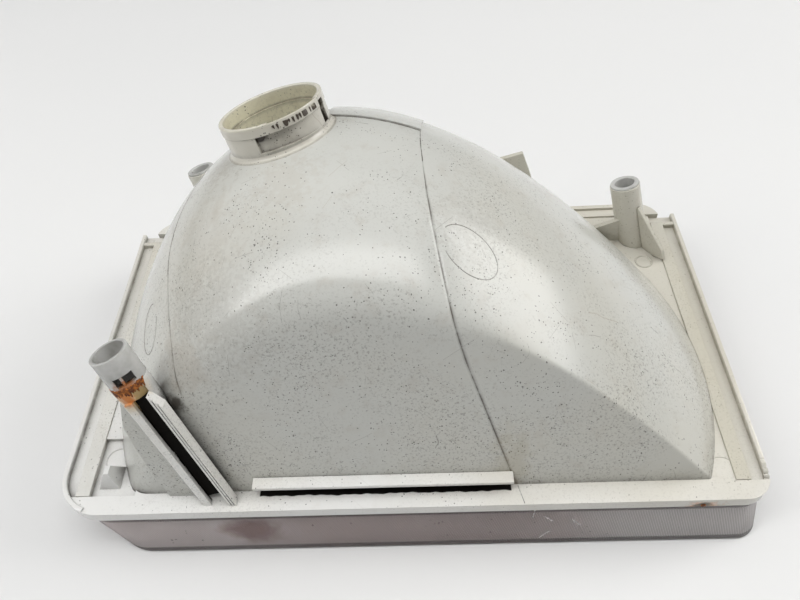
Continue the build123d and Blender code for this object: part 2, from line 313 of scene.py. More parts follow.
def makeSpecksGroup():
    # Dark specks: the middles of random cells, of which only a share is kept, in clusters.
    tree, given, result = newGroup("specks", Scale=400.0, Size=0.2, Share=0.2)
    moved = wobbled(tree, given["Vector"], 900.0, 0.0007)
    cells, draws = cellNodes(tree, moved, given["Scale"])
    cluster = smoothRange(tree, noiseNode(tree, given["Vector"], 38.0, 4.0, 0.65), 0.46, 0.74)
    low = lowDown(tree, given["Vector"], 0.115, 0.055)
    cluster = plus(tree, times(tree, cluster, 1.9), times(tree, low, 0.35))
    kept = mathNode(tree, "LESS_THAN", draws[0], times(tree, given["Share"], cluster))
    size = times(tree, given["Size"], draws[1])
    inside = mathNode(tree, "LESS_THAN", cells.outputs["Distance"], size)
    feed(tree, result, times(tree, inside, kept))
    return tree


def makeStainGroup():
    # Soft stain round a point: one at the centre, falling to nothing at the radius, with a ragged edge.
    tree, given, result = newGroup(
        "stain", Centre=(0, 0, 0), Stretch=(1, 1, 1), Radius=0.005, Ragged=0.5, Scale=300.0)
    offset = vectorMath(tree, "SUBTRACT", given["Vector"], given["Centre"])
    distance = vectorMath(tree, "LENGTH", vectorMath(tree, "MULTIPLY", offset, given["Stretch"]))
    share = mathNode(tree, "DIVIDE", distance, given["Radius"])
    noise = noiseNode(tree, given["Vector"], given["Scale"], 4.0, 0.6)
    push = times(tree, mathNode(tree, "SUBTRACT", noise, 0.5), given["Ragged"])
    edge = plus(tree, share, times(tree, push, 2.0))
    feed(tree, result, smoothRange(tree, edge, 1.0, 0.35))
    return tree


def makeScratchGroup():
    # Straight scratches: in each random cell a plane of random slant through the cell's middle cuts the
    # surface along a line, and only a share of the cells keep theirs.
    tree, given, result = newGroup("scratches", Scale=90.0, Width=0.00006, Length=0.5, Share=0.3)
    bent = wobbled(tree, given["Vector"], 120.0, 0.0012)
    cells, draws = cellNodes(tree, bent, given["Scale"])
    offset = vectorMath(tree, "SUBTRACT", bent, cells.outputs["Position"])
    slant = vectorMath(tree, "SUBTRACT", cells.outputs["Color"], (0.5, 0.5, 0.5))
    away = vectorMath(tree, "DOT_PRODUCT", offset, vectorMath(tree, "NORMALIZE", slant))
    line = smoothRange(tree, mathNode(tree, "ABSOLUTE", away), given["Width"], 0.0)
    reach = times(tree, given["Length"], draws[2])
    ended = mathNode(tree, "LESS_THAN", cells.outputs["Distance"], reach)
    kept = mathNode(tree, "LESS_THAN", draws[1], given["Share"])
    feed(tree, result, times(tree, line, times(tree, ended, kept)))
    return tree


def makeGrainGroup():
    # Height of moulded plastic: a faint orange peel with a finer grain over it.
    tree, given, result = newGroup("mouldedGrain", Scale=900.0)
    fine = noiseNode(tree, given["Vector"], given["Scale"], 3.0, 0.6)
    broad = noiseNode(tree, given["Vector"], 120.0, 2.0, 0.5)
    feed(tree, result, plus(tree, times(tree, fine, 0.35), broad))
    return tree


groups = {
    "specks": makeSpecksGroup(),
    "stain": makeStainGroup(),
    "scratches": makeScratchGroup(),
    "grain": makeGrainGroup(),
}


def useGroup(tree, name, vector, **values):
    node = addNode(tree, "ShaderNodeGroup", node_tree=groups[name])
    feed(tree, node.inputs["Vector"], vector)
    for key, value in values.items():
        feed(tree, node.inputs[key], value)
    return node.outputs[0]


def startMaterial(name):
    made = bpy.data.materials.new(name)
    made.use_nodes = True
    tree = made.node_tree
    shader = tree.nodes["Principled BSDF"]
    coordinates = addNode(tree, "ShaderNodeTexCoord").outputs["Object"]
    return made, tree, shader, coordinates


def addBump(tree, shader, height, strength, distance):
    bump = addNode(tree, "ShaderNodeBump")
    feed(tree, bump.inputs["Strength"], strength)
    feed(tree, bump.inputs["Distance"], distance)
    feed(tree, bump.inputs["Height"], height)
    feed(tree, shader.inputs["Normal"], bump.outputs[0])


# The bowl and the flange are one plastic: this tint, darker than the flange's, is a shaded copy of it,
# painted shade.
housing = {
    "tint": (0.565, 0.57, 0.54, 1),
    "yellow": (0.62, 0.56, 0.42, 1),
    # Dark tint for grime, and for painted shade in corners and hollows.
    "grimeAndShade": (0.075, 0.062, 0.05, 1),
    "scuff": (0.33, 0.26, 0.19, 1),
    "speck": (0.03, 0.027, 0.024, 1),
    "aged": (0.74, 0.70, 0.50, 1),
    "roughness": 0.13,
    "speckShare": 0.42,
    # Strength of the painted shade in corners.
    "cornerShade": 0.6,
    "grit": 0.5,
    "agedShare": 0.75,
    "mottleShare": 0.28,
    "scuffShare": 0.35,
    "hairShare": 0.5,
    "speckDark": 0.75,
    "mottleRough": 0.14,
    "grain": 0.1,
}


def agedPlastic(name, values, yellowing=0.25, dirt=1.0, stains=()):
    # Off-white moulded plastic: patchy yellowing, scuffs, specks and scratches, with painted shade in the
    # corners.
    made, tree, shader, vector = startMaterial(name)
    patch = noiseNode(tree, vector, 14.0, 4.0, 0.55)
    tint = mixTint(tree, smoothRange(tree, patch, 0.35, 0.8), values["tint"], values["yellow"])
    tint = mixTint(tree, yellowing, values["tint"], tint)
    aged = attributeNode(tree, "aged")
    tint = mixTint(tree, times(tree, aged, values["agedShare"]), tint, values["aged"])
    mottle = noiseNode(tree, vector, 160.0, 5.0, 0.65)
    blotch = times(tree, smoothRange(tree, mottle, 0.5, 0.85), values["mottleShare"] * dirt)
    tint = mixTint(tree, blotch, tint, values["scuff"])
    scuff = useGroup(tree, "scratches", vector, Scale=60.0, Width=0.00012, Length=0.6, Share=0.35)
    tint = mixTint(tree, times(tree, scuff, values["scuffShare"] * dirt), tint, values["scuff"])
    hair = useGroup(tree, "scratches", vector, Scale=130.0, Width=0.00007, Length=0.8, Share=0.3)
    tint = mixTint(tree, times(tree, hair, values["hairShare"] * dirt), tint, values["grimeAndShade"])
    small = useGroup(tree, "specks", vector, Scale=1500.0, Size=0.36, Share=values["speckShare"] * dirt)
    large = useGroup(tree, "specks", vector, Scale=620.0, Size=0.2, Share=0.07 * dirt)
    specks = mathNode(tree, "MAXIMUM", small, large)
    tint = mixTint(tree, times(tree, specks, values["speckDark"]), tint, values["speck"])
    low = lowDown(tree, vector, 0.12, 0.075)
    grit = smoothRange(tree, noiseNode(tree, vector, 1300.0, 2.0, 0.75), 0.5, 0.72)
    zone = smoothRange(tree, noiseNode(tree, vector, 24.0, 4.0, 0.65), 0.36, 0.62)
    zone = times(tree, zone, plus(tree, 0.15, times(tree, low, 0.85)))
    grit = times(tree, grit, times(tree, zone, values["grit"] * dirt))
    tint = mixTint(tree, grit, tint, values["grimeAndShade"])
    # Grime and painted shade: the attribute carries both, and the ambient occlusion term adds painted shade
    # in corners and hollows, broken up by the mottle.
    worn = attributeNode(tree, "grimeAndShade")
    shade = addNode(tree, "ShaderNodeAmbientOcclusion", samples=6)
    feed(tree, shade.inputs["Distance"], 0.006)
    corner = smoothRange(tree, shade.outputs["AO"], 0.75, 0.15)
    worn = plus(tree, worn, times(tree, corner, values["cornerShade"]))
    ragged = times(tree, worn, smoothRange(tree, mottle, 0.2, 0.6), clamp=True)
    tint = mixTint(tree, ragged, tint, values["grimeAndShade"])
    rough = plus(tree, values["roughness"], times(tree, mottle, values["mottleRough"]))
    for stain in stains:
        mask = useGroup(
            tree, "stain", vector, Centre=tuple(stain["centre"]), Radius=stain["radius"],
            Stretch=stain.get("stretch", (1, 1, 1)), Ragged=stain.get("ragged", 0.5),
            Scale=stain.get("scale", 300.0))
        mask = times(tree, mask, stain["strength"])
        tint = mixTint(tree, mask, tint, stain["tint"])
        rough = plus(tree, rough, times(tree, mask, stain.get("dull", 0.2)))
    feed(tree, shader.inputs["Base Color"], tint)
    feed(tree, shader.inputs["Roughness"], rough)
    shader.inputs["IOR"].default_value = 1.5
    addBump(tree, shader, useGroup(tree, "grain", vector, Scale=1400.0), values["grain"], 0.0002)
    return made


rust = {
    "deep": (0.10, 0.028, 0.008, 1),
    "orange": (0.60, 0.19, 0.02, 1),
    "pale": (0.60, 0.42, 0.18, 1),
}


def onLeftTower(x, y, z):
    return place(leftTower, np.array(x * mm), np.array(y * mm), np.array(z * mm), leftFrame)


def stainAt(centre, radius, strength, tint, **rest):
    # A stain's values: its centre in metres, its radius in millimetres and how much it covers.
    return dict(rest, centre=centre, radius=radius * mm, strength=strength, tint=tint)


towerStains = [
    stainAt(onLeftTower(0, -4, 47.5), 8, 0.7, rust["pale"], ragged=0.35, scale=220.0),
    stainAt(onLeftTower(-0.5, -5.5, 47.6), 4.2, 0.9, rust["orange"], ragged=0.7, scale=420.0),
]
pinLow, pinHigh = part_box("lens_retaining_pin")
pinPlace = ((pinLow.x + pinHigh.x) / 2, pinLow.y, (pinLow.z + pinHigh.z) / 2)
flangeStains = [
    stainAt(pinPlace, 4.6, 0.85, rust["orange"], ragged=0.9, stretch=(0.7, 1.0, 1.6), scale=420.0),
    stainAt(pinPlace, 3.0, 1.0, (0.035, 0.014, 0.006, 1), ragged=0.8, stretch=(0.7, 1.0, 1.2), scale=600.0),
    stainAt((0.098, 0.030, 0.04), 150, 0.62, (0.50, 0.47, 0.38, 1), ragged=0.25, scale=40.0, dull=0.0),
    stainAt((-0.106, 0.020, 0.045), 80, 0.4, (0.52, 0.50, 0.43, 1), ragged=0.25, scale=40.0, dull=0.0,
            stretch=(2.0, 1, 1)),
]
rearStains = [
    stainAt((0.08, 0.05, 0.05), 300, 0.62, (0.44, 0.41, 0.31, 1), ragged=0.1, scale=60.0, dull=0.0),
]
bowlStains = [
    stainAt((-0.0675, -0.0500, 0.0600), 4.6, 0.9, (0.06, 0.05, 0.04, 1), ragged=0.9, scale=260.0),
    stainAt((-0.056, -0.013, 0.093), 17, 0.10, (0.36, 0.29, 0.22, 1), ragged=2.0, scale=420.0),
    stainAt((-0.0532, 0.0144, 0.0973), 10, 0.2, (0.26, 0.21, 0.16, 1), ragged=2.2, scale=520.0),
    stainAt((-0.031, -0.0031, 0.1047), 12, 0.12, (0.36, 0.29, 0.21, 1), ragged=2.2, scale=480.0),
    stainAt((0.0219, -0.0128, 0.0932), 12, 0.13, (0.24, 0.2, 0.16, 1), ragged=2.4, scale=640.0),
    stainAt((-0.052, -0.034, 0.083), 20, 0.13, (0.22, 0.19, 0.16, 1), ragged=2.4, scale=700.0),
    stainAt((-0.064, -0.0413, 0.0709), 12, 0.25, (0.34, 0.28, 0.22, 1), ragged=1.2, scale=240.0),
    stainAt((0.033, -0.058, 0.03), 12, 0.3, (0.36, 0.31, 0.2, 1), ragged=0.9, scale=200.0,
            stretch=(1.6, 1, 0.5)),
]
housingFinish = agedPlastic("agedHousing", housing, stains=bowlStains)
# The flange's paler tint is a lit copy of the bowl's plastic, painted light; the towers and the rear parts
# share it.
flangeValues = dict(housing, tint=(0.80, 0.80, 0.785, 1), yellow=(0.72, 0.67, 0.55, 1), cornerShade=0.8)
flangeFinish = agedPlastic("agedFlange", flangeValues, yellowing=0.35, dirt=0.35, stains=flangeStains)
# Near-black tint for the painted shade inside the left tower.
towerValues = dict(flangeValues, grimeAndShade=(0.01, 0.009, 0.008, 1))
towerFinish = agedPlastic("agedTower", towerValues, yellowing=0.4, dirt=0.6, stains=towerStains)
rearFinish = agedPlastic("agedRear", flangeValues, yellowing=0.5, dirt=0.8, stains=rearStains)
collarValues = dict(housing, tint=(0.62, 0.60, 0.54, 1), yellow=(0.6, 0.56, 0.4, 1))
collarFinish = agedPlastic("agedCollar", collarValues, yellowing=0.5, dirt=1.5)


nylon = {
    "pale": (0.84, 0.84, 0.82, 1),
    "worn": (0.58, 0.58, 0.55, 1),
    # Dark tint for the painted shade inside the cup.
    "dirt": (0.03, 0.026, 0.022, 1),
    "gloss": 0.06,
    "seeThrough": 0.4,
}


def nylonMaterial(values):
    # Milky nylon: glossy, slightly see-through, with fine wear streaks and rust run down from the screw.
    made, tree, shader, vector = startMaterial("milkyNylon")
    streaks = noiseNode(tree, vector, 150.0, 3.0, 0.6)
    tint = mixTint(tree, smoothRange(tree, streaks, 0.4, 0.8), values["pale"], values["worn"])
    stain = useGroup(
        tree, "stain", vector, Centre=tuple(onLeftTower(1.5, -5, 50.5)), Radius=3.8 * mm, Ragged=0.6,
        Scale=420.0)
    tint = mixTint(tree, times(tree, stain, 0.9), tint, rust["orange"])
    # Painted shade inside the left socket's cup, mixed in from the vertex marks with the dark tint.
    tint = mixTint(tree, attributeNode(tree, "grimeAndShade"), tint, values["dirt"])
    feed(tree, shader.inputs["Base Color"], tint)
    feed(tree, shader.inputs["Roughness"], plus(tree, values["gloss"], times(tree, streaks, 0.12)))
    shader.inputs["Transmission Weight"].default_value = values["seeThrough"]
    addBump(tree, shader, streaks, 0.05, 0.0002)
    return made


def mirrorMaterial():
    # Vacuum-coated aluminium with a faint haze.
    made, tree, shader, vector = startMaterial("aluminisedSkin")
    haze = noiseNode(tree, vector, 60.0, 4.0, 0.6)
    feed(tree, shader.inputs["Base Color"], mixTint(tree, haze, (0.82, 0.83, 0.84, 1), (0.9, 0.9, 0.88, 1)))
    shader.inputs["Metallic"].default_value = 1.0
    feed(tree, shader.inputs["Roughness"], plus(tree, 0.04, times(tree, haze, 0.08)))
    return made


lensPlastic = {
    "smoky": (0.76, 0.66, 0.65, 1),
    "clear": (0.97, 0.91, 0.90, 1),
    "middle": (0.50, 0.36, 0.34, 1),
    "rightEnd": (1.0, 0.97, 0.96, 1),
    "smear": (0.22, 0.07, 0.06, 1),
    # Dark tint for the painted shade in the flutes and along the lens's edges.
    "flutes": (0.10, 0.075, 0.07, 1),
    "scratch": (0.9, 0.88, 0.88, 1),
    "speck": (0.05, 0.04, 0.04, 1),
    "seeThrough": 0.6,
}


def lensMaterial(values):
    # Clear plastic gone slightly smoky, with dust, painted shade in the flutes and along its edges, a brown
    # smear and a rubbed patch.
    made, tree, shader, vector = startMaterial("clearLens")
    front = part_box("outer_lens")[0].y
    cloud = noiseNode(tree, vector, 45.0, 5.0, 0.6)
    tint = mixTint(tree, cloud, values["smoky"], values["clear"])
    specks = useGroup(tree, "specks", vector, Scale=700.0, Size=0.3, Share=0.16)
    tint = mixTint(tree, times(tree, specks, 0.8), tint, values["speck"])
    smear = useGroup(
        tree, "stain", vector, Centre=(-0.052, front + 0.003, 0.011), Radius=11 * mm, Ragged=0.5,
        Scale=120.0, Stretch=(0.8, 0.5, 1.3))
    tint = mixTint(tree, times(tree, smear, 0.75), tint, values["smear"])
    for x, radius, strength, zoneTint in ((0.0, 0.075, 0.5, "middle"), (0.098, 0.05, 0.75, "rightEnd")):
        zone = useGroup(
            tree, "stain", vector, Centre=(x, front, 0.01), Radius=radius, Ragged=0.4, Scale=60.0)
        tint = mixTint(tree, times(tree, zone, strength), tint, values[zoneTint])
    # Painted shade from the wall's vertex marks: in the flute grooves, a shadow line under the flange, and a
    # dark line along the bottom edge.
    tint = mixTint(tree, times(tree, attributeNode(tree, "grimeAndShade"), 0.8), tint, values["flutes"])
    rubbed = useGroup(
        tree, "stain", vector, Centre=(0.052, front, 0.010), Radius=0.03, Ragged=1.2, Scale=120.0)
    hair = useGroup(tree, "scratches", vector, Scale=150.0, Width=0.00022, Length=0.9, Share=0.55)
    hair = times(tree, hair, rubbed)
    tint = mixTint(tree, times(tree, hair, 0.7), tint, values["scratch"])
    feed(tree, shader.inputs["Base Color"], tint)
    rough = plus(tree, 0.10, times(tree, cloud, 0.16))
    feed(tree, shader.inputs["Roughness"], plus(tree, rough, times(tree, hair, 0.3)))
    shader.inputs["IOR"].default_value = 1.49
    shader.inputs["Transmission Weight"].default_value = values["seeThrough"]
    addBump(tree, shader, cloud, 0.1, 0.0003)
    return made


def sealantMaterial():
    # Dark bonding sealant with grit on it.
    made, tree, shader, vector = startMaterial("darkSealant")
    grit = noiseNode(tree, vector, 500.0, 5.0, 0.7)
    tint = mixTint(tree, grit, (0.035, 0.03, 0.027, 1), (0.16, 0.13, 0.10, 1))
    feed(tree, shader.inputs["Base Color"], tint)
    shader.inputs["Roughness"].default_value = 0.6
    addBump(tree, shader, grit, 0.6, 0.0004)
    return made


def rustMaterial():
    # Rusted steel: deep brown pits with orange bloom.
    made, tree, shader, vector = startMaterial("rustedSteel")
    pits = noiseNode(tree, vector, 900.0, 5.0, 0.7)
    tint = mixTint(tree, smoothRange(tree, pits, 0.4, 0.7), rust["deep"], rust["orange"])
    feed(tree, shader.inputs["Base Color"], tint)
    shader.inputs["Roughness"].default_value = 0.75
    addBump(tree, shader, pits, 0.8, 0.0004)
    return made


def shadeBlackMaterial():
    # Near-black and quite dull: painted shade, set where the left tower's slot and the flange under the front
    # ledge lie in deep shadow.
    made, tree, shader, vector = startMaterial("paintedShadeBlack")
    grit = noiseNode(tree, vector, 700.0, 4.0, 0.7)
    tint = mixTint(tree, grit, (0.003, 0.003, 0.003, 1), (0.014, 0.012, 0.01, 1))
    feed(tree, shader.inputs["Base Color"], tint)
    shader.inputs["Roughness"].default_value = 0.9
    shader.inputs["Specular IOR Level"].default_value = 0.1
    return made


shadeBlackFinish = shadeBlackMaterial()
nylonFinish = nylonMaterial(nylon)
mirrorFinish = mirrorMaterial()
lensFinish = lensMaterial(lensPlastic)
sealantFinish = sealantMaterial()
rustFinish = rustMaterial()
print("materials made")


bowl = {
    "focal": 29.1 * mm,
    "innerFocal": 28.3 * mm,
    "wall": 2.4 * mm,
    "nearY": -60.6 * mm,
    "nearLean": 16.7,
    "farY": 60.0 * mm,
    "farLean": 12.3,
    "blend": 0.9 * mm,
    "crownBlend": 5.5 * mm,
    "crownRight": 60 * mm,
    "crownLeft": 34 * mm,
    "farBlend": 7 * mm,
    "hole": 12.2 * mm,
    "seamOffset": 42 * mm,
    "seamSpread": 3.0 * mm,
    "seamDepth": 0.4 * mm,
    "outerRows": 160,
    "innerRows": 40,
    "nearColumns": 140,
    "edgeColumns": 64,
    "farColumns": 225,
    "towerOutside": 5.2 * mm,
    "towerInside": 6.9 * mm,
    "skinBack": {"focal": 0, "inset": 0.02 * mm, "tower": 7.0 * mm},
    "skinFront": {"focal": 0.1 * mm, "inset": 0.3 * mm, "tower": 7.3 * mm},
}


def softMinimum(a, b, width):
    # The lesser of two values, rounded where they are within width of each other.
    return np.minimum(a, b) - np.maximum(width - np.abs(a - b), 0) ** 2 / (4 * width)


def wallReach(angle, depth, focal, inset):
    # Distance from the lamp axis to the bowl's wall: the parabola's 2 sqrt(focal * depth), cut by the
    # near and far flats, with the corner between them blended more where the flat is widest.
    reach = 2 * np.sqrt(focal * np.maximum(depth - inset, 1e-9))
    crownWidth = bowl["crownRight"] - bowl["crownLeft"]
    crown = np.clip((bowl["crownRight"] - reach * np.cos(angle)) / crownWidth, 0, 1)
    nearBlend = bowl["blend"] + bowl["crownBlend"] * crown ** 2 * (3 - 2 * crown)
    sides = (
        (bowl["nearY"], bowl["nearLean"], 1, nearBlend),
        (bowl["farY"], bowl["farLean"], -1, bowl["farBlend"]))
    for y, lean, side, blend in sides:
        tilt = math.radians(lean)
        normal = np.array([0, side * math.cos(tilt), -side * math.sin(tilt)])
        start = (vertex - np.array([0, y, rimTop])) @ normal - inset
        facing = -(np.cos(angle) * (across @ normal) + np.sin(angle) * (along @ normal))
        flat = (start - depth * (lampAxis @ normal)) / np.maximum(facing, 0.02)
        reach = softMinimum(reach, np.where(facing > 0.03, flat, 1.0), blend)
    return reach


def bowlDepth(angle, share, focal, inset, holeDepth):
    # Depth below the vertex at a share of the way from the hole to the flange, for each angle.
    lift = np.cos(angle) * across[2] + np.sin(angle) * along[2]
    deepest = np.full(np.shape(angle), 0.08)
    for _ in range(14):
        deepest = (vertex[2] - plateTop + wallReach(angle, deepest, focal, inset) * lift) / lampAxis[2]
    return holeDepth + (deepest - holeDepth) * share ** 1.7


def creaseAngle(share, focal, inset, holeDepth):
    # Angle, in each row, at which the paraboloid meets the near flat on the right.
    tilt = math.radians(bowl["nearLean"])
    normal = np.array([0, math.cos(tilt), -math.sin(tilt)])
    start = (vertex - np.array([0, bowl["nearY"], rimTop])) @ normal - inset
    alongFlat = math.hypot(across @ normal, along @ normal)
    facing = math.atan2(along @ normal, across @ normal)
    angle = np.full(share.shape, -0.6)
    for _ in range(30):
        depth = bowlDepth(angle, share, focal, inset, holeDepth)
        reach = 2 * np.sqrt(focal * np.maximum(depth - inset, 1e-9))
        level = (start - depth * (lampAxis @ normal)) / (reach * alongFlat)
        angle = facing - np.arccos(np.clip(-level, -1, 1))
    return angle


def bowlColumns(share, focal, inset, holeDepth):
    # Angles of the columns in each row. The mould seams lie at a fixed offset each side of the axis, so
    # both seam columns turn from row to row, and the other columns are spread evenly between them.
    right = np.full(share.shape, -1.0)
    left = np.full(share.shape, -2.2)
    for _ in range(30):
        reachRight = wallReach(right, bowlDepth(right, share, focal, inset, holeDepth), focal, inset)
        reachLeft = wallReach(left, bowlDepth(left, share, focal, inset, holeDepth), focal, inset)
        low = bowlDepth(right, share, focal, inset, holeDepth) - 60 * mm
        offset = bowl["seamOffset"] + bowl["seamSpread"] * np.clip(low / (50 * mm), 0, 1)
        right = -np.arccos(np.clip(offset / reachRight, 0, 0.999))
        left = np.arccos(np.clip(bowl["seamOffset"] / reachLeft, 0, 0.999)) - math.pi
    crease = np.maximum(creaseAngle(share, focal, inset, holeDepth), right + 0.09)
    edge = np.array([0.0, 0.3, 0.75]) * mm / np.maximum(reachRight, 20 * mm)
    close = np.array([-1.1, -0.6, -0.25, 0, 0.25, 0.6, 1.1]) * mm / np.maximum(reachRight, 20 * mm)
    spread = np.linspace(0, 1, bowl["nearColumns"])
    middle = np.linspace(0, 1, bowl["edgeColumns"])
    wide = np.linspace(0, 1, bowl["farColumns"])
    nearStart, nearEnd = left + edge[:, 2:], right - edge[:, 2:]
    middleStart, middleEnd = right + edge[:, 2:], crease + 1.6 * close[:, :1]
    farStart, farEnd = crease + 1.6 * close[:, -1:], left + 2 * math.pi - edge[:, 2:]
    return np.concatenate([
        left + edge[:, :2], nearStart + (nearEnd - nearStart) * spread,
        right - edge[:, 1:2], right + edge[:, :2],
        middleStart + (middleEnd - middleStart) * middle, crease + close,
        farStart + (farEnd - farStart) * wide, left + 2 * math.pi - edge[:, 1:2]], 1)


def troughRound(points, base, radius, axes):
    # Where a tower passes through the wall, the wall goes round the tower's back.
    offset = points - base
    x, y = offset @ axes[0], offset @ axes[1]
    inside = (x ** 2 + y ** 2 < radius ** 2) & (offset @ axes[2] > -0.03)
    inwards = -1.0 if base[1] > 0 else 1.0
    back = inwards * np.sqrt(np.maximum(radius ** 2 - x ** 2, 0))
    return points + np.where(inside, back - y, 0)[..., None] * axes[1]


def bowlSurface(rows, focal, inset):
    # Rows of points from the bulb hole down to the flange.
    holeDepth = bowl["hole"] ** 2 / (4 * focal) + inset
    share = np.linspace(0, 1, rows)[:, None]
    angle = bowlColumns(share, focal, inset, holeDepth)
    share = np.broadcast_to(share, angle.shape)
    depth = bowlDepth(angle, share, focal, inset, holeDepth)
    reach = wallReach(angle, depth, focal, inset)
    return angle, depth, reach


ledgeLow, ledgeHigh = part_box("front_ledge")


def innerSurface(focal, inset):
    angle, depth, reach = bowlSurface(bowl["innerRows"], focal, inset)
    return place(vertex, reach * np.cos(angle), reach * np.sin(angle), -depth)


def roundTowers(points, radius):
    points = troughRound(points, leftTower, radius, leftFrame)
    return troughRound(points, rearTower, radius, lampFrame)


def makeBowl():
    angle, depth, reach = bowlSurface(bowl["outerRows"], bowl["focal"], 0)
    seam = np.zeros(angle.shape)
    rightColumn = bowl["nearColumns"] + 3
    past = np.clip((reach - bowl["seamOffset"]) / (1.2 * mm), 0, 1)
    onDome = np.clip((reach - 50 * mm) / (2 * mm), 0, 1) * np.clip((49 * mm - depth) / (2 * mm), 0, 1)
    for column, amount in ((-1, 0.25), (0, 1), (1, 0.25)):
        seam[:, column] = amount * onDome[:, column]
        seam[:, rightColumn + column] = amount * past[:, rightColumn + column]
    reach = reach - bowl["seamDepth"] * seam
    outside = place(vertex, reach * np.cos(angle), reach * np.sin(angle), -depth)
    outside = roundTowers(outside, bowl["towerOutside"])
    inside = roundTowers(innerSurface(bowl["innerFocal"], bowl["wall"]), bowl["towerInside"])
    height = outside[..., 2] - rimTop
    # Darker at the bowl's foot, where it meets the flange.
    corner = 0.45 * np.exp(-np.maximum(height, 0) / (1.3 * mm))
    # Painted shadow on the wall under the front ledge.
    underLedge = (outside[..., 0] > ledgeLow.x) & (outside[..., 0] < ledgeHigh.x)
    underLedge &= outside[..., 1] < -50 * mm
    underLedge = underLedge * np.clip((ledgeLow.z - outside[..., 2]) / (0.6 * mm), 0, 1)
    grimeAndShade = np.clip(seam * 1.2 + corner + underLedge, 0, 1)
    points = np.concatenate([outside, inside[::-1]])
    marks = {"grimeAndShade": np.concatenate([grimeAndShade, np.zeros(inside.shape[:2])])}
    return outward(gridPiece(
        "bowlShell", points, True, True, housingFinish, "aged_housing", replaced=("reflector_bowl",),
        marks=marks))


def makeCoating():
    # Mirror skin on the bowl's inside, with its own distance from the wall and from the towers.
    back, front = (
        roundTowers(
            innerSurface(bowl["innerFocal"] - skin["focal"], bowl["wall"] + skin["inset"]), skin["tower"])
        for skin in (bowl["skinBack"], bowl["skinFront"]))
    points = np.concatenate([back, front[::-1]])
    return outward(gridPiece(
        "mirrorSkin", points, True, True, mirrorFinish, "mirror_coating",
        replaced=("reflector_coating",)))


makeCoating()
makeBowl()
print("bowl made")


def onBowl(x, y, lift=0.0):
    # Point on the paraboloid at x across and y along from the axis, raised by lift along its normal.
    slopeX, slopeY = x / (2 * bowl["focal"]), y / (2 * bowl["focal"])
    length = np.sqrt(slopeX ** 2 + slopeY ** 2 + 1)
    depth = (x ** 2 + y ** 2) / (4 * bowl["focal"])
    return place(vertex, x + lift * slopeX / length, y + lift * slopeY / length, lift / length - depth)


def carryProfile(path, normals, profile, closed):
    # Profile of (sideways, up) offsets carried along a path, for whole arrays of path points.
    ahead = np.roll(path, -1, 0) - np.roll(path, 1, 0)
    if not closed:
        ahead[0] = path[1] - path[0]
        ahead[-1] = path[-1] - path[-2]
    ahead /= np.linalg.norm(ahead, axis=1)[:, None]
    sideways = np.cross(normals, ahead)
    sideways /= np.linalg.norm(sideways, axis=1)[:, None]
    up = np.cross(ahead, sideways)
    return path[:, None] + profile[None, :, :1] * sideways[:, None] + profile[None, :, 1:] * up[:, None]


def roundProfile(radius, count=8):
    turn = np.linspace(0, 2 * math.pi, count, endpoint=False)
    return np.stack([radius * np.cos(turn), radius * np.sin(turn)], 1)


bowlMarks = {
    "mouldCircle": {"x": 50, "y": -41, "radius": 6.6, "width": 0.2, "start": 200, "sweep": 300},
    "flankOval": {"x": -53, "y": -38, "radius": 4.2, "tall": 1.5, "width": 0.2, "start": 60, "sweep": 300},
}


def makeBowlMark(name, values):
    # Fine raised line round a mould insert: a circle or oval wrapped onto the bowl.
    turn = np.radians(values["start"] + np.linspace(0, values["sweep"], 120))
    x = (values["x"] + values["radius"] * np.cos(turn)) * mm
    y = (values["y"] + values["radius"] * values.get("tall", 1) * np.sin(turn)) * mm
    path = onBowl(x, y, -0.08 * mm)
    normals = onBowl(x, y, 1 * mm) - onBowl(x, y)
    points = carryProfile(path, normals, roundProfile(values["width"] * mm, 6), False)
    return rodPiece(name, points, housingFinish, "aged_housing",
                    marks={"grimeAndShade": np.full(points.shape[:2], 0.55)})


for markName, markValues in bowlMarks.items():
    makeBowlMark(markName, markValues)


def makeSeamEnd(name, x, y):
    # Upper end of a mould seam, over the crown to where the groove is deep.
    path = onBowl(x, y, -0.1 * mm)
    normals = onBowl(x, y, 1 * mm) - onBowl(x, y)
    points = carryProfile(path, normals, roundProfile(0.19 * mm, 6), False)
    return rodPiece(name, points, housingFinish, "aged_housing",
                    marks={"grimeAndShade": np.ones(points.shape[:2])})


seamEnds = {"right": (4.6, -15), "left": (3, -31), "swing": 6.5, "swingFrom": -30, "swingOver": 25}

rightEnd = np.linspace(*seamEnds["right"], 60) * mm
leftEnd = np.linspace(*seamEnds["left"], 90) * mm
makeSeamEnd("rightSeamEnd", np.full(rightEnd.shape, bowl["seamOffset"]), rightEnd)
# The left end swings towards the collar as the square of its distance from where the swing starts.
leftSwing = seamEnds["swing"] * mm * ((leftEnd / mm - seamEnds["swingFrom"]) / seamEnds["swingOver"]) ** 2
makeSeamEnd("leftSeamEnd", leftSwing - bowl["seamOffset"], leftEnd)


crownStrip = {"left": 15.0, "right": 42.0, "front": 4.6, "rear": 22.0, "lift": 0.7}


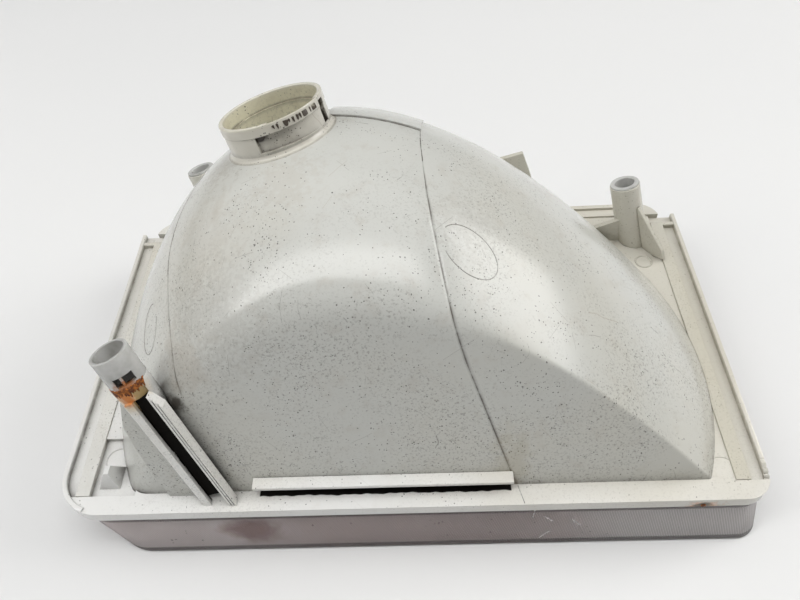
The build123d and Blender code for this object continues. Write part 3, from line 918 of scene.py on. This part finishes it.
def makeCrownStrip(values):
    # Patch of the bowl's far side raised by lift, between the collar and the right seam.
    x = np.linspace(values["left"], values["right"], 60) * mm
    y = np.linspace(values["front"], values["rear"], 24) * mm
    gridX, gridY = np.meshgrid(x, y)
    top = onBowl(gridX, gridY, values["lift"] * mm)
    bottom = onBowl(gridX, gridY, -0.3 * mm)
    # Painted shade on the strip's edge wall, darkest at its foot.
    rim = np.ones(gridX.shape)
    rim[1:-1, 1:-1] = 0
    count = top.shape[0] * top.shape[1]
    rows, columns = gridX.shape
    faces = gridFaces(rows, columns, False, False)
    index = np.arange(count).reshape(rows, columns)
    border = np.concatenate([index[0, :-1], index[:-1, -1], index[-1, :0:-1], index[:0:-1, 0]])
    after = np.roll(border, -1)
    walls = np.stack([border, border + count, after + count, after], 1)
    faces = np.concatenate([faces, faces[:, ::-1] + count, walls])
    points = np.concatenate([top.reshape(-1, 3), bottom.reshape(-1, 3)])
    marks = {"grimeAndShade": np.concatenate([np.zeros(count), rim.ravel()])}
    return outward(makePiece(
        "crownStrip", points, faces, housingFinish, "aged_housing", sharpAngle=40, marks=marks))


makeCrownStrip(crownStrip)


collar = {
    "outer": 17.0,
    "bore": 15.5,
    "seat": 14.6,
    "band": 4.7,
    "columns": 420,
    "track": {"from": -101, "to": -20, "low": -0.4, "high": 4.6, "deep": 1.25},
    "rightSlot": {"from": -18.0, "to": -7.5, "low": -1.2, "high": 6.6, "deep": 1.55},
    "leftNotch": {"from": -172, "to": -161, "low": 2.4, "high": 6.4, "deep": 1.5},
}


def makeCollar(values):
    # Ring of a (radius, height) outline carried round the lamp axis. The track, the slot and the notch
    # are places where the outer wall steps in, and the inner rim is chipped over part of the turn.
    cuts = [values[k] for k in ("track", "rightSlot", "leftNotch")]
    edges = np.array([[c["from"] - 0.12, c["from"] + 0.12, c["to"] - 0.12, c["to"] + 0.12] for c in cuts])
    even = np.linspace(-180, 180, values["columns"], endpoint=False)
    turn = np.sort(np.concatenate([even, edges.ravel()]))
    levels = np.array([[c["low"] - 0.05, c["low"] + 0.05, c["high"] - 0.05, c["high"] + 0.05] for c in cuts])
    bandEdge = [values["band"] - 0.03, values["band"] + 0.08]
    wallHeights = np.sort(np.concatenate([np.linspace(-5, 7.3, 22), levels.ravel(), bandEdge]))
    outer = np.full(wallHeights.shape, values["outer"] - 0.22)
    outer[wallHeights > values["band"]] = values["outer"]
    rimRadius = np.array([16.95, 16.82, 16.6, 16.2, 15.8, 15.56])
    rimHeight = np.array([7.75, 7.92, 8.0, 8.0, 7.92, 7.75])
    innerHeights = np.array([7.2, 6, 5, 4.0, 3.4, 3.3, 3.2, 2, 0, -2, -5])
    innerRadius = np.where(innerHeights > 3.25, values["bore"], values["seat"])
    radius = np.concatenate([outer, rimRadius, innerRadius])[:, None]
    height = np.concatenate([wallHeights, rimHeight, innerHeights])[:, None]
    angle = turn[None, :]
    radius, height, angle = (a.copy() for a in np.broadcast_arrays(radius, height, angle))
    isWall = (np.arange(radius.shape[0]) < len(wallHeights))[:, None]
    # Painted shade inside the track, the slot and the notch, with a painted shadow in the track's upper
    # corner.
    dark = np.zeros(radius.shape)
    for cut, shade in zip(cuts, (0.25, 1.0, 1.0)):
        inside = isWall & (angle > cut["from"]) & (angle < cut["to"])
        inside &= (height > cut["low"]) & (height < cut["high"])
        ramp = np.clip((cut["to"] + 4 - angle) / 58, 0.14, 1) if cut is cuts[0] else 1
        radius = np.where(inside, values["outer"] - cut["deep"] * ramp, radius)
        cornerShade = 2.6 * np.clip((-86 - angle) / 10, 0, 1) * np.clip((height - 2.6) / 1.5, 0, 1)
        dark = np.where(inside, shade * (ramp if cut is cuts[0] else 2) + cornerShade, dark)
    draw = np.random.default_rng(7)
    waves = sum(np.sin(np.radians(angle) * k + draw.uniform(0, 6)) for k in (19, 31, 47, 83)) / 4
    chipped = np.clip((angle + 84) / 8, 0, 1) * np.clip((-18 - angle) / 6, 0, 1)
    onRim = ~isWall & (height > 6.5) & (radius < 16.8)
    bite = chipped * np.clip(0.85 + 1.9 * waves, 0.3, 1) * onRim
    height = height - 2.6 * bite
    radius = radius + 0.75 * bite
    nick = np.clip(np.abs(waves) - 0.62, 0, 1) * onRim
    height = height - 0.5 * nick
    seat = np.exp(-((height - 3.3) / 0.35) ** 2) * ~isWall
    foot = np.exp(-np.maximum(height + 0.6, 0) / 0.5) * isWall
    bandLine = np.exp(-((height - values["band"]) / 0.12) ** 2) * isWall
    grimeAndShade = np.clip(dark + 4 * bite + 0.5 * seat + 0.35 * foot + 0.6 * bandLine, 0, 3)
    aged = ~isWall * np.clip((7.9 - height) / 0.8, 0.15, 1)
    radians = np.radians(angle)
    points = place(vertex, radius * mm * np.cos(radians), radius * mm * np.sin(radians), height * mm)
    return outward(gridPiece("collarSleeve", points, True, True, collarFinish, "aged_housing",
                             replaced=("bulb_collar",), sharpAngle=38,
                             marks={"grimeAndShade": grimeAndShade, "aged": aged}))


collarFoot = {
    "wall": 16.7,
    "outer": 18.2,
    "inner": 16.0,
    "top": -0.7,
    "fall": 2.0,
    "foot": -3.6,
    "ledge": -0.9,
}


def makeCollarFoot(values):
    # Ring round the collar's foot: a hollow fillet from the wall down to the bowl, then closed inside.
    turn = np.linspace(0, 2 * math.pi, 240, endpoint=False)
    sweep = np.linspace(0, math.pi / 2, 7)
    radius = values["wall"] + (values["outer"] - values["wall"]) * (1 - np.cos(sweep))
    radius = np.concatenate([radius, [values["outer"], values["inner"], values["inner"]]])[:, None] * mm
    height = values["top"] - values["fall"] * np.sin(sweep)
    height = np.concatenate([height, [values["foot"], values["foot"], values["ledge"]]])[:, None] * mm
    height = np.broadcast_to(height, (len(height), len(turn)))
    points = place(vertex, radius * np.cos(turn), radius * np.sin(turn), height)
    grimeAndShade = np.zeros(points.shape[:2])
    grimeAndShade[5:8] = 0.4
    return outward(gridPiece("collarFoot", points, True, True, collarFinish, "aged_housing",
                             replaced=("collar_base_ring",), marks={"grimeAndShade": grimeAndShade}))


makeCollar(collar)
makeCollarFoot(collarFoot)
print("collar made")


lens = {
    "halfWidth": 113.2,
    "halfDepth": 64.9,
    "middleY": -1.0,
    "taperLeft": 7.2,
    "taperRight": 2.4,
    "radii": (13.4, 7.4, 14.0, 14.0),
    "wall": 2.4,
    "flutePitch": 0.85,
    "fluteDepth": 0.3,
    "edge": 1.2,
}


def lensOutline(heightShare, inset, count):
    # Rounded rectangle at a share of the lens height (0 at the face, 1 at the joint), as evenly spaced
    # points: it narrows towards the face and its middle slides along the lamp axis.
    fall = 1 - heightShare
    left = -lens["halfWidth"] + lens["taperLeft"] * fall + inset
    right = lens["halfWidth"] - lens["taperRight"] * fall - inset
    front = lens["middleY"] - lens["halfDepth"] + inset
    rear = lens["middleY"] + lens["halfDepth"] - inset
    middles, starts = [], (180, 270, 0, 90)
    corners = ((left, front, 1, 1), (right, front, -1, 1), (right, rear, -1, -1), (left, rear, 1, -1))
    for (x, y, signX, signY), radius, start in zip(corners, lens["radii"], starts):
        r = max(radius - inset, 0.6)
        turn = np.radians(start + np.linspace(0, 90, 40))
        middles.append(np.stack([x + signX * r + r * np.cos(turn), y + signY * r + r * np.sin(turn)], 1))
    ring = np.concatenate(middles)
    ring = np.concatenate([ring, ring[:1]])
    length = np.concatenate([[0], np.cumsum(np.linalg.norm(np.diff(ring, axis=0), axis=1))])
    even = np.linspace(0, length[-1], count, endpoint=False)
    x = np.interp(even, length, ring[:, 0]) * mm - lampAxis[0] / lampAxis[2] * jointHeight * fall
    y = np.interp(even, length, ring[:, 1]) * mm - lampAxis[1] / lampAxis[2] * jointHeight * fall
    return np.stack([x, y, np.full(count, jointHeight * heightShare)], 1)


def makeLensWall(values):
    # Outline profile of (height share, inset) pairs carried round the lens, with vertical flutes
    # pressed into the wall as a sine of the distance along the outline.
    perimeter = 2 * (2 * values["halfWidth"] + 2 * values["halfDepth"])
    flutes = int(perimeter / values["flutePitch"])
    count = flutes * 4
    edge = values["edge"] / (jointHeight / mm)
    bend = np.linspace(0, math.pi / 2, 5)
    wallShares = np.array([0.12, 0.15, 0.3, 0.5, 0.65, 0.815, 0.83, 0.9, 1.0])
    outerShares = np.concatenate([edge * (1 - np.cos(bend)), wallShares])
    outerInsets = np.concatenate([values["edge"] * (1 - np.sin(bend)), np.zeros(len(wallShares))])
    innerShares = np.array([1, 0.75, 0.5, 0.3, 0.16, 0.125, 0.0])
    innerInsets = np.array([2.4, 2.4, 2.4, 2.4, 2.5, 3.4, 3.4])
    flute = values["fluteDepth"] * (0.5 - 0.5 * np.cos(np.arange(count) * math.pi / 2))
    rows, grimeAndShade = [], []
    shares = np.concatenate([outerShares, innerShares])
    insets = np.concatenate([outerInsets, innerInsets])
    for share, inset in zip(shares, insets):
        ring = lensOutline(share, inset, count)
        onWall = 0.1 < share < 0.97
        middle = ring.mean(0)
        inwards = middle - ring
        inwards[:, 2] = 0
        inwards /= np.linalg.norm(inwards, axis=1)[:, None]
        sign = 1 if inset < 2 else -1
        rows.append(ring + inwards * (sign * flute * mm)[:, None] * onWall)
        # Painted shade in the flute grooves, stronger towards the right; on the outer face, a painted shadow
        # line along the top under the flange's overhang, and a dark line along the bottom edge.
        towardsRight = np.clip(0.3 + ring[:, 0] / 0.13, 0.08, 1)
        line = 1.0 if share < 0.13 or share > 0.82 else 0.0
        line = line if inset < 2 else 0.0
        grimeAndShade.append(np.clip(line + 0.42 * flute / values["fluteDepth"] * towardsRight * onWall, 0, 1))
    points = np.stack(rows)
    return outward(gridPiece("lensWall", points, True, True, lensFinish, "clear_lens",
                             replaced=("outer_lens",), marks={"grimeAndShade": np.stack(grimeAndShade)}))


def makeLensFace():
    # Plate across the lens face. Its inner side carries broad upright flutes in two bands.
    low = lensOutline(0, 3.3, 400)
    centre = low.mean(0)
    outline = low - centre
    rings = np.linspace(0, 1, 110)[1:]
    plate = centre + outline[None] * rings[:, None, None]
    ripple = 0.35 * np.abs(np.sin(plate[..., 0] / (3.2 * mm)))
    bandY = np.where(np.abs(plate[..., 1] - centre[1]) < 30 * mm, 1.0, 0.55)
    top = plate.copy()
    top[..., 2] = (1.9 + ripple * bandY) * mm
    bottom = plate.copy()
    bottom[..., 2] = 0.02 * mm
    stack = np.concatenate([top, bottom[::-1]])
    rows, columns = stack.shape[:2]
    points = np.concatenate([stack.reshape(-1, 3), [centre + [0, 0, 1.9 * mm], centre + [0, 0, 0.02 * mm]]])
    ring = np.arange(columns)
    topHub, bottomHub = rows * columns, rows * columns + 1
    faces = gridFaces(rows, columns, False, True).tolist()
    last = (rows - 1) * columns
    faces += [[topHub, b, a] for a, b in zip(ring, np.roll(ring, -1))]
    faces += [[bottomHub, last + a, last + b] for a, b in zip(ring, np.roll(ring, -1))]
    return outward(makePiece("lensFace", points, faces, lensFinish, "clear_lens", replaced=("outer_lens",)))


def makeSealantBead():
    # Uneven bead squeezed out between lens and flange: a round profile whose size wanders.
    count = 900
    path = lensOutline(1.0, -0.25, count)
    draw = np.random.default_rng(3)
    phase = draw.uniform(0, 6, 6)
    turn = np.linspace(0, 2 * math.pi, count, endpoint=False)
    wander = sum(np.sin(turn * k + p) for k, p in zip((5, 13, 37, 71, 113, 190), phase)) / 6
    size = (0.42 + 0.16 * wander) * mm
    ahead = np.roll(path, -1, 0) - np.roll(path, 1, 0)
    ahead /= np.linalg.norm(ahead, axis=1)[:, None]
    side = np.cross(ahead, [0, 0, 1.0])
    around = np.linspace(0, 2 * math.pi, 8, endpoint=False)
    points = path[:, None] + size[:, None, None] * (
        np.cos(around)[None, :, None] * side[:, None] + np.sin(around)[None, :, None] * np.array([0, 0, 1.0]))
    return outward(gridPiece("sealantBead", points, True, True, sealantFinish, "sealant"))


makeLensWall(lens)
makeLensFace()
makeSealantBead()
print("lens made")


flangeMarks = [
    {"x": 96.4, "y": 34.0, "radius": 3.1, "width": 0.35, "start": 0, "sweep": 359},
    {"x": 101.0, "y": -57.6, "radius": 4.6, "width": 0.2, "start": -60, "sweep": 250},
    {"x": -98.0, "y": -47.5, "radius": 4.4, "width": 0.2, "start": 20, "sweep": 230},
]


def makeFlangeMarks(values):
    # Fine raised arcs left by ejector pins.
    for count, mark in enumerate(values):
        turn = np.radians(mark["start"] + np.linspace(0, mark["sweep"], 70))
        level = plateTop if mark["x"] < -95 else rimTop
        x = (mark["x"] + mark["radius"] * np.cos(turn)) * mm
        y = (mark["y"] + mark["radius"] * np.sin(turn)) * mm
        path = np.stack([x, y, np.full(turn.shape, level)], 1)
        normals = np.tile([0, 0, 1.0], (len(turn), 1))
        points = carryProfile(path, normals, roundProfile(mark["width"] * mm, 6), False)
        rodPiece("ejectorMark" + str(count), points, flangeFinish, "aged_housing",
                 marks={"grimeAndShade": np.full(points.shape[:2], 0.2)})


makeFlangeMarks(flangeMarks)


rail = {"thickness": 1.6, "leftCorner": 15.0, "rightCorner": 9.0, "edge": 0.35, "rows": 260}


def makeRail(side):
    # Thin wall carried along one end of the flange. The right one is broken away towards the front.
    low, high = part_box("left_side_rail" if side < 0 else "right_side_rail")
    corner = (rail["leftCorner"] if side < 0 else rail["rightCorner"]) * mm
    edgeX = low.x if side < 0 else high.x
    innerX = high.x if side < 0 else low.x
    frontY = flangeLow.y
    swing = np.linspace(0, math.pi / 2, 40)
    reach = min(1.0, abs(edgeX - innerX) / corner)
    swing = swing[np.sin(swing) >= 1 - reach - 1e-9] if reach < 1 else swing
    arcX = edgeX - side * corner * (1 - np.sin(swing))
    arcY = frontY + corner * (1 - np.cos(swing))
    straight = np.linspace(frontY + corner, high.y, rail["rows"])[1:]
    x = np.concatenate([arcX, np.full(straight.shape, edgeX)])
    y = np.concatenate([arcY, straight])
    path = np.stack([x, y, np.full(x.shape, plateTop)], 1)
    ahead = np.gradient(path, axis=0)
    ahead /= np.linalg.norm(ahead, axis=1)[:, None]
    inwards = np.cross(ahead, [0, 0, 1.0]) * -side
    inwards *= np.sign((inwards @ np.array([-side, 0, 0])).mean()) or 1
    thick = rail["thickness"] * mm
    top = high.z - plateTop
    soft = rail["edge"] * mm
    skin = 0.02 * mm
    profile = np.array([
        (skin, 0), (skin, top * 0.5), (skin, top - soft), (skin + 0.3 * soft, top - 0.3 * soft),
        (soft, top), (thick - soft, top), (thick - 0.3 * soft, top - 0.3 * soft), (thick, top - soft),
        (thick, top * 0.5), (thick, 0)])
    upwards = np.array([0, 0, 1.0])
    points = path[:, None] + profile[None, :, :1] * inwards[:, None] + profile[None, :, 1:] * upwards
    # Painted shade on the inner face, towards the channel, over its lower half.
    grimeAndShade = np.zeros(points.shape[:2])
    grimeAndShade[:, 8:] = 0.25
    if side > 0:
        fromFront = (y - frontY - corner * 0.2) / (11 * mm)
        jag = 0.16 * np.sin(y * 2900) + 0.10 * np.sin(y * 7100 + 1) + 0.06 * np.sin(y * 13700)
        left = np.clip(fromFront + jag * (fromFront < 1.1), 0.12, 1)
        points[..., 2] = plateTop + (points[..., 2] - plateTop) * left[:, None]
    name = "leftRail" if side < 0 else "rightRail"
    node = "left_side_rail" if side < 0 else "right_side_rail"
    return rodPiece(name, points, flangeFinish, "aged_housing", replaced=(node,), sharpAngle=40,
                    marks={"grimeAndShade": grimeAndShade})


makeRail(-1)
makeRail(1)


moulded = {
    "mounting_flange": ("flangeBody", 0.35, flangeFinish, "aged_housing"),
    "left_side_ridge": ("leftRidge", 0.5, rearFinish, "aged_housing"),
    "right_side_ridge": ("rightRidge", 0.5, rearFinish, "aged_housing"),
    "rear_flange_rail": ("rearRail", 0.4, flangeFinish, "aged_housing"),
    "left_aim_tower": ("leftTower", 0.25, towerFinish, "aged_housing"),
    "left_tower_rails": ("leftTowerRails", 0.2, towerFinish, "aged_housing"),
    "left_tower_gusset": ("leftGusset", 0.3, housingFinish, "aged_housing"),
    "left_aim_socket": ("leftSocket", 0.2, nylonFinish, "nylon_socket"),
    "right_aim_tower": ("rightTower", 0.25, rearFinish, "aged_housing"),
    "right_aim_socket": ("rightSocket", 0.2, nylonFinish, "nylon_socket"),
    "right_tower_gusset": ("rightGusset", 0.4, rearFinish, "aged_housing"),
    "right_tower_ribs": ("rightRibs", 0.4, rearFinish, "aged_housing"),
    "rear_pivot_tower": ("rearTower", 0.25, rearFinish, "aged_housing"),
    "rear_pivot_socket": ("rearSocket", 0.2, nylonFinish, "nylon_socket"),
    "rear_bracket_tab": ("rearTab", 0.4, rearFinish, "aged_housing"),
    "front_ledge": ("frontLedge", 0.3, flangeFinish, "aged_housing"),
    "corner_wedge": ("cornerWedge", 0.4, flangeFinish, "aged_housing"),
    "lens_retaining_pin": ("retainingPin", 0.15, rustFinish, "rusted_steel"),
}


def inLeftTower(points):
    # Place of points in the left tower's own frame, in millimetres.
    offset = points - leftTower
    return (offset @ leftFrame[0] / mm, offset @ leftFrame[1] / mm, offset @ leftFrame[2] / mm)


def towerInside(points):
    # Painted shade: black inside the slotted part, and on the edge of the wall beside the slot.
    x, y, t = inLeftTower(points)
    return ((np.hypot(x, y) < 5.0) | ((x > 2.0) & (t < 46))) * 3.0


def socketInside(points):
    # Painted shade inside the cup, darker in its lower part.
    x, y, t = inLeftTower(points)
    return ((np.hypot(x, y) < 5.0) & (t > 49)) * np.where(t < 55, 0.9, 0.35)


def slimRail(points):
    # The wide rail stands clear of the slot, is thinner front to back than its base, and its top end
    # slopes down and away from the tower.
    x, y, t = inLeftTower(points)
    wide = x > 4.4
    drop = np.where(wide & (t > 44), (x - 4.8) * 1.3, 0)
    slide = np.where(wide, 6.4 + (x - 5.0) * 0.62 - x, 0)
    thin = np.where(wide & (y > -4.8), (-4.8 - y) * 0.75, 0)
    return points + mm * (
        slide[:, None] * leftFrame[0] + thin[:, None] * leftFrame[1] - drop[:, None] * leftFrame[2])


darkened = {"left_aim_tower": towerInside, "left_aim_socket": socketInside}
reshaped = {"left_tower_rails": slimRail}
for nodeName, (pieceName, width, finish, slotName) in moulded.items():
    softened(nodeName, pieceName, width * mm, finish,
             darkened.get(nodeName), reshaped.get(nodeName))


rustFlake = {"from": -168, "to": -12, "low": 47.6, "high": 50.1, "outer": 5.9, "inner": 5.6, "taper": 0.25}


def makeRustBand(values):
    # Ragged flake of rust round the front of the left tower's mouth: a thin shell whose upper and lower
    # edges wander as sums of sines.
    start, end = math.radians(values["from"]), math.radians(values["to"])
    turn = np.linspace(start, end, 140)
    draw = np.random.default_rng(11)
    low = values["low"] + sum(0.34 * np.sin(turn * k + draw.uniform(0, 6)) for k in (7, 13, 29, 47))
    high = values["high"] + sum(0.12 * np.sin(turn * k + draw.uniform(0, 6)) for k in (9, 17, 37))
    low = high - (high - low) * np.clip(np.minimum(turn - start, end - turn) / values["taper"], 0, 1)
    share = np.array([0, 0.25, 0.5, 0.75, 1, 1, 0.5, 0])[:, None]
    swell = values["outer"] - np.array([0.12, 0.04, 0, 0.02, 0.10])
    radius = np.concatenate([swell, np.full(3, values["inner"])])[:, None] * mm
    height = (low + (high - low) * share) * mm
    points = place(leftTower, radius * np.cos(turn), radius * np.sin(turn), height, leftFrame)
    rodPiece("rustBand", points.transpose(1, 0, 2), rustFinish, "rusted_steel")


cupPost = {"turn": -70, "reach": 5.15, "radius": 0.42, "low": 50.4, "high": 54.2}


def makeCupPost(values):
    # Pale round post standing in the cup's front window.
    around = np.linspace(0, 2 * math.pi, 12, endpoint=False)
    turn = math.radians(values["turn"])
    x = (values["reach"] * math.cos(turn) + values["radius"] * np.cos(around)) * mm
    y = (values["reach"] * math.sin(turn) + values["radius"] * np.sin(around)) * mm
    heights = np.linspace(values["low"], values["high"], 4)[:, None] * mm
    rodPiece("cupPost", place(leftTower, x[None], y[None], heights, leftFrame), nylonFinish, "nylon_socket")


slotBack = {"x": (0.7, 6.2), "y": (-4.5, -4.1), "height": (0.4, 44.9)}


def makeSlotBack(values):
    # Black strip behind the left tower's slot, from the narrow rail to the wide one: painted shade for the
    # dark hollow inside the tower.
    x, y, t = np.meshgrid(values["x"], values["y"], values["height"], indexing="ij")
    points = place(leftTower, x.ravel() * mm, y.ravel() * mm, t.ravel() * mm, leftFrame)
    faces = [[0, 1, 3, 2], [4, 6, 7, 5], [0, 4, 5, 1], [2, 3, 7, 6], [0, 2, 6, 4], [1, 5, 7, 3]]
    outward(makePiece("slotBack", points, faces, shadeBlackFinish, "aged_housing", sharpAngle=30,
                      marks={"grimeAndShade": np.full(8, 3.0)}))


ledgeShadow = {"leftGap": 1.5, "rightGap": 0.5, "reach": 2.0, "wander": 0.35, "thickness": 0.14}


def makeLedgeShadow(values):
    # Painted shadow on the flange under the front ledge: a thin near-black plate with a wandering front edge.
    x = np.linspace(ledgeLow.x + values["leftGap"] * mm, ledgeHigh.x - values["rightGap"] * mm, 160)
    draw = np.random.default_rng(5)
    wander = sum(np.sin(x * k + draw.uniform(0, 6)) for k in (180, 420, 900, 1700)) / 4
    front = bowl["nearY"] - (values["reach"] + values["wander"] * wander) * mm
    rear = np.full(x.shape, bowl["nearY"] + 1.0 * mm)
    low, high = rimTop - 0.1 * mm, rimTop + values["thickness"] * mm
    corners = ((front, low), (front, high), (rear, high), (rear, low))
    points = np.stack([np.stack([x, y, np.full(x.shape, z)], 1) for y, z in corners], 1)
    rodPiece("ledgeShadow", points, shadeBlackFinish, "aged_housing", sharpAngle=40,
             marks={"grimeAndShade": np.full(points.shape[:2], 2.0)})


flangeSeam = {"pastLedge": 1.6, "slant": 0.25, "radius": 0.12, "grimeAndShade": 0.8}


def makeFlangeSeam(values):
    # The right mould seam carried on over the flange's front strip, from the bowl's foot to the edge.
    y = np.linspace(bowl["nearY"] - 0.5 * mm, flangeLow.y + 0.4 * mm, 12)
    x = ledgeHigh.x + values["pastLedge"] * mm + (bowl["nearY"] - y) * values["slant"]
    path = np.stack([x, y, np.full(y.shape, rimTop - 0.02 * mm)], 1)
    upwards = np.tile([0, 0, 1.0], (len(y), 1))
    points = carryProfile(path, upwards, roundProfile(values["radius"] * mm, 6), False)
    rodPiece("flangeSeam", points, towerFinish, "aged_housing",
             marks={"grimeAndShade": np.full(points.shape[:2], values["grimeAndShade"])})


makeRustBand(rustFlake)
makeCupPost(cupPost)
makeSlotBack(slotBack)
makeLedgeShadow(ledgeShadow)
makeFlangeSeam(flangeSeam)
kept = frame["nodes"]["lens_sealant"]
kept.data.materials.clear()
kept.data.materials.append(sealantFinish)
print("moulded parts finished")


studio = {
    "floorHalfWidth": 3.0,
    "floor": (0.75, 0.757, 0.76, 1),
    "floorPale": (0.80, 0.80, 0.80, 1),
    "sky": (1.0, 1.0, 1.0, 1),
    "skyStrength": 0.18,
    "lights": [
        {"name": "ceilingStrip", "place": (-0.35, -0.2, 1.2), "size": (2.3, 0.26), "turn": 8,
         "power": 11.6, "tint": (1, 0.995, 0.98)},
        {"name": "ceilingPanel", "place": (0.05, 0.45, 1.5), "size": (1.6, 0.9), "power": 4.2,
         "tint": (1, 0.995, 0.98)},
        {"name": "leftPanel", "place": (-1.2, 0.3, 0.9), "size": (1.3, 1.3), "power": 4.2, "tint": (1, 1, 1)},
        {"name": "rightPanel", "place": (1.2, 0.3, 0.9), "size": (0.8, 0.8), "power": 10.4,
         "tint": (1, 0.99, 0.97)},
        {"name": "frontStrip", "place": (-0.18, -0.56, 0.76), "size": (0.6, 0.05), "power": 0.1,
         "tint": (1, 1, 1)},
    ],
}


def makeStudio(values):
    size = values["floorHalfWidth"]
    mesh = bpy.data.meshes.new("floor")
    corners = [(-size, -size, 0), (size, -size, 0), (size, size, 0), (-size, size, 0)]
    mesh.from_pydata(corners, [], [(0, 1, 2, 3)])
    floor = bpy.data.objects.new("floor", mesh)
    bpy.context.scene.collection.objects.link(floor)
    paper, tree, shader, vector = startMaterial("paleFloor")
    shade = noiseNode(tree, vector, 3.0, 2.0)
    feed(tree, shader.inputs["Base Color"], mixTint(tree, shade, values["floor"], values["floorPale"]))
    shader.inputs["Roughness"].default_value = 0.6
    mesh.materials.append(paper)
    world = bpy.data.worlds.new("studio")
    world.use_nodes = True
    world.node_tree.nodes["Background"].inputs[0].default_value = values["sky"]
    world.node_tree.nodes["Background"].inputs[1].default_value = values["skyStrength"]
    bpy.context.scene.world = world
    for one in values["lights"]:
        data = bpy.data.lights.new(one["name"], "AREA")
        data.shape = "RECTANGLE"
        data.size, data.size_y = one["size"]
        data.energy = one["power"]
        data.color = one["tint"]
        made = bpy.data.objects.new(one["name"], data)
        spot = np.array(one["place"])
        back = spot / np.linalg.norm(spot)
        side = np.cross([0, 1.0, 0], back)
        side /= np.linalg.norm(side)
        turn = math.radians(one.get("turn", 0))
        side = side * math.cos(turn) + np.cross(back, side) * math.sin(turn)
        matrix = np.eye(4)
        matrix[:3, 0], matrix[:3, 1], matrix[:3, 2], matrix[:3, 3] = side, np.cross(back, side), back, spot
        made.matrix_world = Matrix(matrix.tolist())
        bpy.context.scene.collection.objects.link(made)


makeStudio(studio)
bpy.context.scene.view_settings.view_transform = "Standard"
print("studio made")
